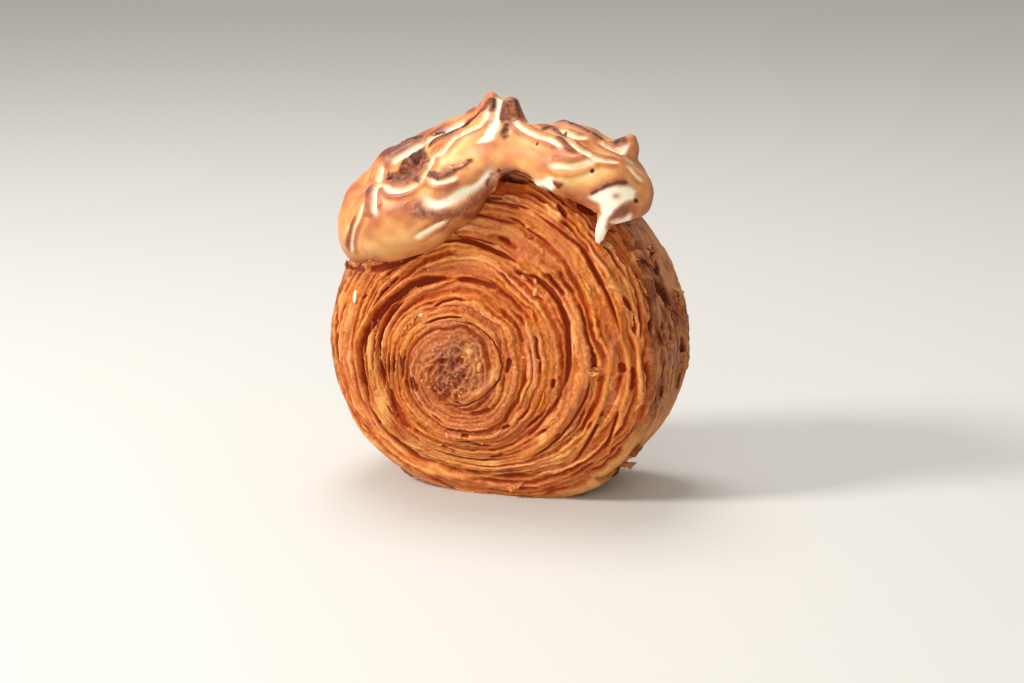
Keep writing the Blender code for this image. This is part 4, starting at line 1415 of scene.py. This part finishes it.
# Outlined places of the skin, in pixels
WHITE_PATCHES = {
    "below_peak": [(499, 103), (498, 118), (497, 130), (493, 139), (485, 142), (477, 141), (485, 135),
        (491, 125), (495, 113)],
    "lower_right": [(531, 179), (544, 180), (552, 177), (555, 186), (548, 196), (538, 190)],
    "horn_side": [(616, 150), (624, 146), (629, 144), (628, 150), (625, 154)],
    "drip": [(588, 197), (599, 191), (612, 187), (627, 187), (636, 191), (633, 199), (622, 204), (613, 210),
        (607, 220), (605, 238), (600, 249), (593, 245), (594, 226), (602, 214), (600, 204)],
    "drip_under": [(611, 222), (620, 219), (631, 214), (630, 220), (618, 224)],
}
BURNT_PATCHES = {
    "left_patch": [(385, 182), (390, 173), (400, 170), (405, 160), (415, 150), (425, 152), (430, 157),
        (425, 170), (417, 181), (405, 186), (392, 187)],
    "patch_ball": [(417, 150), (420, 146), (425, 148), (424, 153), (419, 153)],
    "patch_spot": [(386, 177), (389, 172), (393, 174), (390, 181), (386, 181)],
    "crescent": [(427, 176), (430, 172), (437, 172), (445, 173), (452, 170), (458, 170), (452, 176),
        (444, 180), (434, 180)],
    "oval": [(501, 137), (503, 128), (507, 124), (510, 129), (508, 137), (504, 141)],
    "small_ring": [(467, 159), (471, 159), (472, 162), (469, 164), (466, 162)],
    "triangle": [(551, 179), (563, 183), (560, 189)],
}
GRAINY_PATCHES = {
    "brown_belly": [(403, 203), (412, 200), (424, 203), (428, 210), (447, 210), (445, 217), (428, 219),
        (412, 218)],
    "patch_rim": [(384, 184), (398, 168), (406, 158), (418, 147), (429, 152), (427, 168), (417, 183),
        (400, 189)],
    "crescent_brown": [(440, 168), (452, 163), (466, 160), (473, 163), (462, 171), (450, 177), (440, 177)],
    "lobe_edge": [(436, 236), (452, 224), (468, 210), (480, 196), (490, 182), (496, 172), (490, 170),
        (478, 188), (462, 203), (446, 219)],
    "finger": [(506, 98), (513, 98), (518, 106), (518, 118), (508, 118), (504, 108)],
    "bowl_top": [(604, 182), (612, 180), (622, 182), (621, 186), (606, 186)],
}
# Where the meringue's lower edge steps back and the roll's top layers show, in pixels
NOTCH = [
    (494, 197), (497, 186), (500, 177), (505, 174), (515, 173), (525, 176), (533, 181), (538, 189),
    (540, 197),
]
# Burnt dots: pixel, and radius in pixels
BURNT_DOTS = [
    (363, 171, 1.6), (366, 165, 1.5), (537, 144, 1.4), (592, 171, 1.9), (636, 201, 2.2), (499, 171, 2.0),
    (540, 124, 1.3), (545, 122, 1.2), (556, 121, 1.6), (566, 133, 1.2), (572, 139, 1.1), (595, 244, 0.9),
    (602, 242, 0.9),
]
# Soft browner (+) or paler (-) places: pixel, half sizes in pixels, and amount
TOAST_SPOTS = [
    (386, 244, 30, 10, -0.24), (420, 208, 28, 12, 0.36), (370, 190, 7, 26, 0.26), (345, 235, 6, 24, 0.0),
    (388, 150, 24, 7, 0.45), (450, 187, 22, 7, 0.16), (455, 155, 30, 9, 0.0), (500, 158, 30, 14, -0.14),
    (560, 180, 34, 12, -0.30), (530, 152, 32, 10, -0.05), (600, 175, 30, 8, -0.20), (646, 193, 9, 14, -0.05),
    (575, 150, 22, 8, 0.10), (510, 108, 6, 12, 0.20), (430, 132, 40, 8, 0.20), (612, 158, 20, 6, 0.04),
    (478, 200, 14, 10, 0.30), (466, 216, 16, 7, 0.35), (450, 230, 14, 6, 0.25), (487, 186, 7, 10, 0.35),
    (502, 173, 24, 5, 0.20), (622, 212, 14, 5, 0.0), (470, 145, 18, 8, -0.10),
]
# A brown oval in the cream of the right bulb: pixel, and half sizes in pixels
BULB_OVAL = (616.3, 196.0, 4.5, 3.2)
# How far apart the folds at the rear lie along x, y and z, in millimetres
FOLD_CELLS = np.array([26.0, 10.0, 11.0])


def stroke_gaps(points):
    """Distance from each place to the skin of each stroke, negative inside it."""
    gaps = []
    for knots in MERINGUE_STROKES.values():
        knots = np.array(knots, float) * MM
        gap = np.full(len(points), 1.0)
        for start, end in zip(knots[:-1], knots[1:]):
            way = end[:3] - start[:3]
            share = np.clip((points - start[:3]) @ way / (way @ way), 0, 1)
            nearest = start[:3] + share[:, None] * way
            radius = start[3] + share * (end[3] - start[3])
            gap = np.minimum(gap, np.linalg.norm(points - nearest, axis=1) - radius)
        gaps.append(gap)
    return np.stack(gaps, -1)


def union_gap(gaps):
    nearest = gaps.min(-1, keepdims=True)
    return nearest[:, 0] - STROKE_BLEND * np.log(np.exp(-(gaps - nearest) / STROKE_BLEND).sum(-1))


def balls_mesh():
    """Balls along every stroke, joined into one skin by the Remesh modifier."""
    form = bmesh.new()
    for knots in MERINGUE_STROKES.values():
        knots = np.array(knots, float) * MM
        for start, end in zip(knots[:-1], knots[1:]):
            spacing = 0.35 * min(start[3], end[3])
            steps = max(2, int(np.linalg.norm(end[:3] - start[:3]) / spacing) + 1)
            for share in np.linspace(0, 1, steps):
                knot = start + share * (end - start)
                place = Matrix.Translation(knot[:3])
                bmesh.ops.create_icosphere(form, subdivisions=3, radius=knot[3], matrix=place)
    mesh = bpy.data.meshes.new("meringue_balls")
    form.to_mesh(mesh)
    form.free()
    balls = bpy.data.objects.new("meringue_balls", mesh)
    bpy.context.scene.collection.objects.link(balls)
    remesh = balls.modifiers.new("remesh", "REMESH")
    remesh.mode = "VOXEL"
    remesh.voxel_size = MERINGUE_VOXEL
    skin = bpy.data.meshes.new_from_object(balls.evaluated_get(bpy.context.evaluated_depsgraph_get()))
    bpy.data.objects.remove(balls)
    skin.calc_loop_triangles()
    points = np.empty(3 * len(skin.vertices), np.float32)
    skin.vertices.foreach_get("co", points)
    triangles = np.empty(3 * len(skin.loop_triangles), np.int32)
    skin.loop_triangles.foreach_get("vertices", triangles)
    bpy.data.meshes.remove(skin)
    return points.reshape(-1, 3).astype(float), triangles.reshape(-1, 3)


def meringue_form():
    """The strokes' blended skin, smoothed a little."""
    points, triangles = balls_mesh()
    for _ in range(4):
        points = points - normals_of(points, triangles) * union_gap(stroke_gaps(points))[:, None]
    return smoothed(points, triangles, 0.5, 5), triangles


def sink_underside(points):
    """Move the underside up to just below the roll's smooth skin."""
    reach = points - np.array([0.0, 0.0, AXIS_HEIGHT])
    angle = np.arctan2(reach[:, 2], reach[:, 0])
    half = ROLL_THICKNESS / 2 + FRONT_DOME * 0.25
    inner_face = EDGE_ROUNDING - (half - SUNK_DEPTH - np.abs(reach[:, 1]))
    inner_rim = EDGE_ROUNDING - (rim_radius(angle) - SUNK_DEPTH - np.hypot(reach[:, 0], reach[:, 2]))
    corner = np.hypot(np.maximum(inner_face, 0), np.maximum(inner_rim, 0))
    lift = np.maximum(EDGE_ROUNDING - np.maximum(corner, np.maximum(inner_face, inner_rim)), 0)
    plain = corner < 1e-6
    toward_face = np.where(plain, 0.0, np.maximum(inner_face, 0) / np.maximum(corner, 1e-9))
    toward_rim = np.where(plain, 1.0, np.maximum(inner_rim, 0) / np.maximum(corner, 1e-9))
    out = [np.cos(angle) * toward_rim, np.sign(reach[:, 1]) * toward_face, np.sin(angle) * toward_rim]
    return points + np.stack(out, -1) * lift[:, None]


def seen_places(tree, points, normals):
    """Which places the camera sees."""
    eye = AIM + CAMERA_DISTANCE * camera_axes()[2]
    way = points - eye
    far = np.linalg.norm(way, axis=1)
    seen = np.einsum("ij,ij->i", way, normals) < 0.05 * far
    for i in np.nonzero(seen)[0]:
        hit = tree.ray_cast(Vector(eye), Vector(way[i] / far[i]), far[i] - 1.2 * MM)
        if hit[0] is not None:
            seen[i] = False
    return seen


def cut_notch(points):
    """Step the meringue's lower edge back behind the roll's skin where the roll's top layers show."""
    share = inside_patch(to_pixels(points), NOTCH, 1.3) * (points[:, 1] < -8 * MM)
    tree = roll_form()
    eye = AIM + CAMERA_DISTANCE * camera_axes()[2]
    for i in np.nonzero(share > 0)[0]:
        way = points[i] - eye
        far = np.linalg.norm(way)
        skin = tree.ray_cast(Vector(eye), Vector(way / far))[3]
        if skin is not None and skin + NOTCH_DEPTH > far:
            points[i] = eye + way / far * (far + share[i] * (skin + NOTCH_DEPTH - far))
    return points


def strengthen(marks, name, values):
    marks[name] = np.maximum(marks[name], values)


def mark_lines(marks, tree, base, shown, rough):
    """White creases with lips beside them, burnt ridges, and lines of painted shade along creases."""
    for width, depth, gap, ends in drawn_lines(WHITE_CREASES, tree, base, 7, 0.14):
        wavy = width * (0.75 + 0.25 * noise(base / (4 * MM), 220))
        lips = bump(gap, 2.6 * width, 1.3 * width)
        marks["height"] += depth * ends * (0.7 * lips - 1.5 * bump(gap, 0, wavy))
        strengthen(marks, "white", shown * ends**0.5 * bump(gap, 0, 1.15 * wavy) * 1.15)
        strengthen(marks, "pale", ends * bump(gap, 0, 3.0 * width))
    for width, rise, gap, ends in drawn_lines(BURNT_RIDGES_AND_SHADE_LINES, tree, base, 7, 0.12):
        marks["height"] += rise * ends * np.exp(-gap / width)
        dark = ends**0.5 * bump(gap, 0, 1.1 * width) * np.clip(0.9 + 0.35 * rough, 0.45, 1.1)
        # lines with a negative height paint shade along a crease, at half strength
        strengthen(marks, "burnt", shown * dark * (1 if rise > 0 else 0.5))
        strengthen(marks, "browned", shown * ends * bump(gap, 0, 3.6 * width))


def mark_patches(marks, base, pixels, seen, rough, fine):
    """White, grainy and burnt patches, and burnt dots."""
    jitter = pixels + 1.1 * np.stack([noise(base / (1.6 * MM), seed) for seed in (221, 222)], -1)
    for corners in WHITE_PATCHES.values():
        strengthen(marks, "white", inside_patch(jitter, corners, 2.6) * seen)
    for corners in GRAINY_PATCHES.values():
        share = inside_patch(pixels, corners, 3.0) * seen
        marks["height"] += share * fine * 0.22 * MM
        strengthen(marks, "grainy", share * smooth_step(-0.55, 0.35, rough))
    for corners in BURNT_PATCHES.values():
        share = inside_patch(jitter, corners, 1.6) * seen
        marks["height"] += share * (0.35 + 0.5 * rough + 0.3 * fine) * MM
        strengthen(marks, "burnt", share * (0.38 + 0.50 * smooth_step(-0.1, 0.8, rough + 0.5 * fine)))
    for x, y, radius in BURNT_DOTS:
        gap = np.hypot(pixels[:, 0] - x, pixels[:, 1] - y)
        share = smooth_step(radius + 0.8, radius - 0.8, gap) * seen
        marks["height"] -= 0.3 * MM * share
        strengthen(marks, "burnt", share)


def mark_rear(marks, base, hidden, rough):
    """Seams between strokes, cream folds and scorched crests where the camera doesn't see."""
    gaps = np.sort(stroke_gaps(base), axis=1)
    seams = bump(gaps[:, 1] - gaps[:, 0], 0, 0.8 * MM) * hidden
    seams = seams * smooth_step(-0.3, 0.2, noise(base / (7 * MM), 230))
    swept = base / (FOLD_CELLS * MM) + 0.22 * noise(base / (9 * MM), 241)[:, None]
    folds = smooth_step(0.93, 0.995, 1 - np.abs(noise(swept, 240))) * hidden
    folds = folds * smooth_step(-0.1, 0.25, noise(base / (14 * MM), 242))
    crest = smooth_step(0.90, 0.99, 1 - np.abs(noise(1.2 * swept, 250))) * hidden
    crest = crest * smooth_step(0.05, 0.4, noise(base / (13 * MM), 251))
    marks["height"] += (0.6 * crest - 0.9 * seams - 0.8 * folds) * MM
    strengthen(marks, "white", np.maximum(seams, 0.9 * folds))
    strengthen(marks, "browned", crest)
    strengthen(marks, "burnt", crest * smooth_step(-0.1, 0.5, rough) * 0.85)


def toast_level(marks, points, triangles, base, pixels, hidden):
    """How brown the skin is: browner on its crests, paler beside its creases, and as the spots say."""
    curve = np.einsum("ij,ij->i", points - neighbour_mean(points, triangles), normals_of(points, triangles))
    curve = neighbour_mean(curve, triangles, 3)
    toast = 0.45 + 0.34 * np.clip(curve / (0.03 * MM), -0.6, 0.9)
    toast = toast - 0.26 * marks["pale"] + 0.34 * marks["browned"]
    toast = toast + (0.12 + 0.16 * hidden) * layered_noise(base, 7 * MM, 270, 2)
    for x, y, half_x, half_y, amount in TOAST_SPOTS:
        toast = toast + amount * pixel_spot(pixels, x, y, half_x, half_y) * (1 - hidden)
    return toast


def make_meringue():
    """The torched meringue, in place of its solid."""
    base, triangles = meringue_form()
    normals = normals_of(base, triangles)
    tree = BVHTree.FromPolygons(base.tolist(), triangles.tolist())
    seen = seen_places(tree, base, normals)
    hidden = neighbour_mean(1.0 - seen, triangles, 6)
    pixels = to_pixels(base)
    rough = layered_noise(base, 1.5 * MM, 200, 3)
    fine = layered_noise(base, 0.8 * MM, 210, 2)
    marks = {name: np.zeros(len(base)) for name in ("height", "white", "burnt", "grainy", "pale", "browned")}
    mark_lines(marks, tree, base, smooth_step(0.0, 0.6, 1 - hidden), rough)
    mark_patches(marks, base, pixels, seen, rough, fine)
    mark_rear(marks, base, hidden, rough)
    height = marks["height"] + 0.22 * MM * layered_noise(base, 6 * MM, 260, 2)
    points = smoothed(base + normals * height[:, None], triangles, 0.4, 1)
    toast = toast_level(marks, points, triangles, base, pixels, hidden)
    oval = pixel_spot(pixels, *BULB_OVAL) * seen
    burnt = marks["burnt"]
    white = np.clip(marks["white"] * (1 - 0.85 * burnt) * (1 - 0.8 * oval), 0, 1)
    points = cut_notch(sink_underside(points))
    made = mesh_piece("torched_meringue", points, triangles, meringue_material())
    set_colour(made.data, "masks", white, np.clip(burnt, 0, 1), np.clip(marks["grainy"], 0, 1))
    set_number(made.data, "toast", np.clip(toast + 0.3 * oval, 0, 1))
    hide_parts("meringue_cap")
    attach(made, "root")


add_camera()
add_studio()
roll_skins = make_roll()
make_flakes()
make_crumbs(roll_skins)
make_meringue()
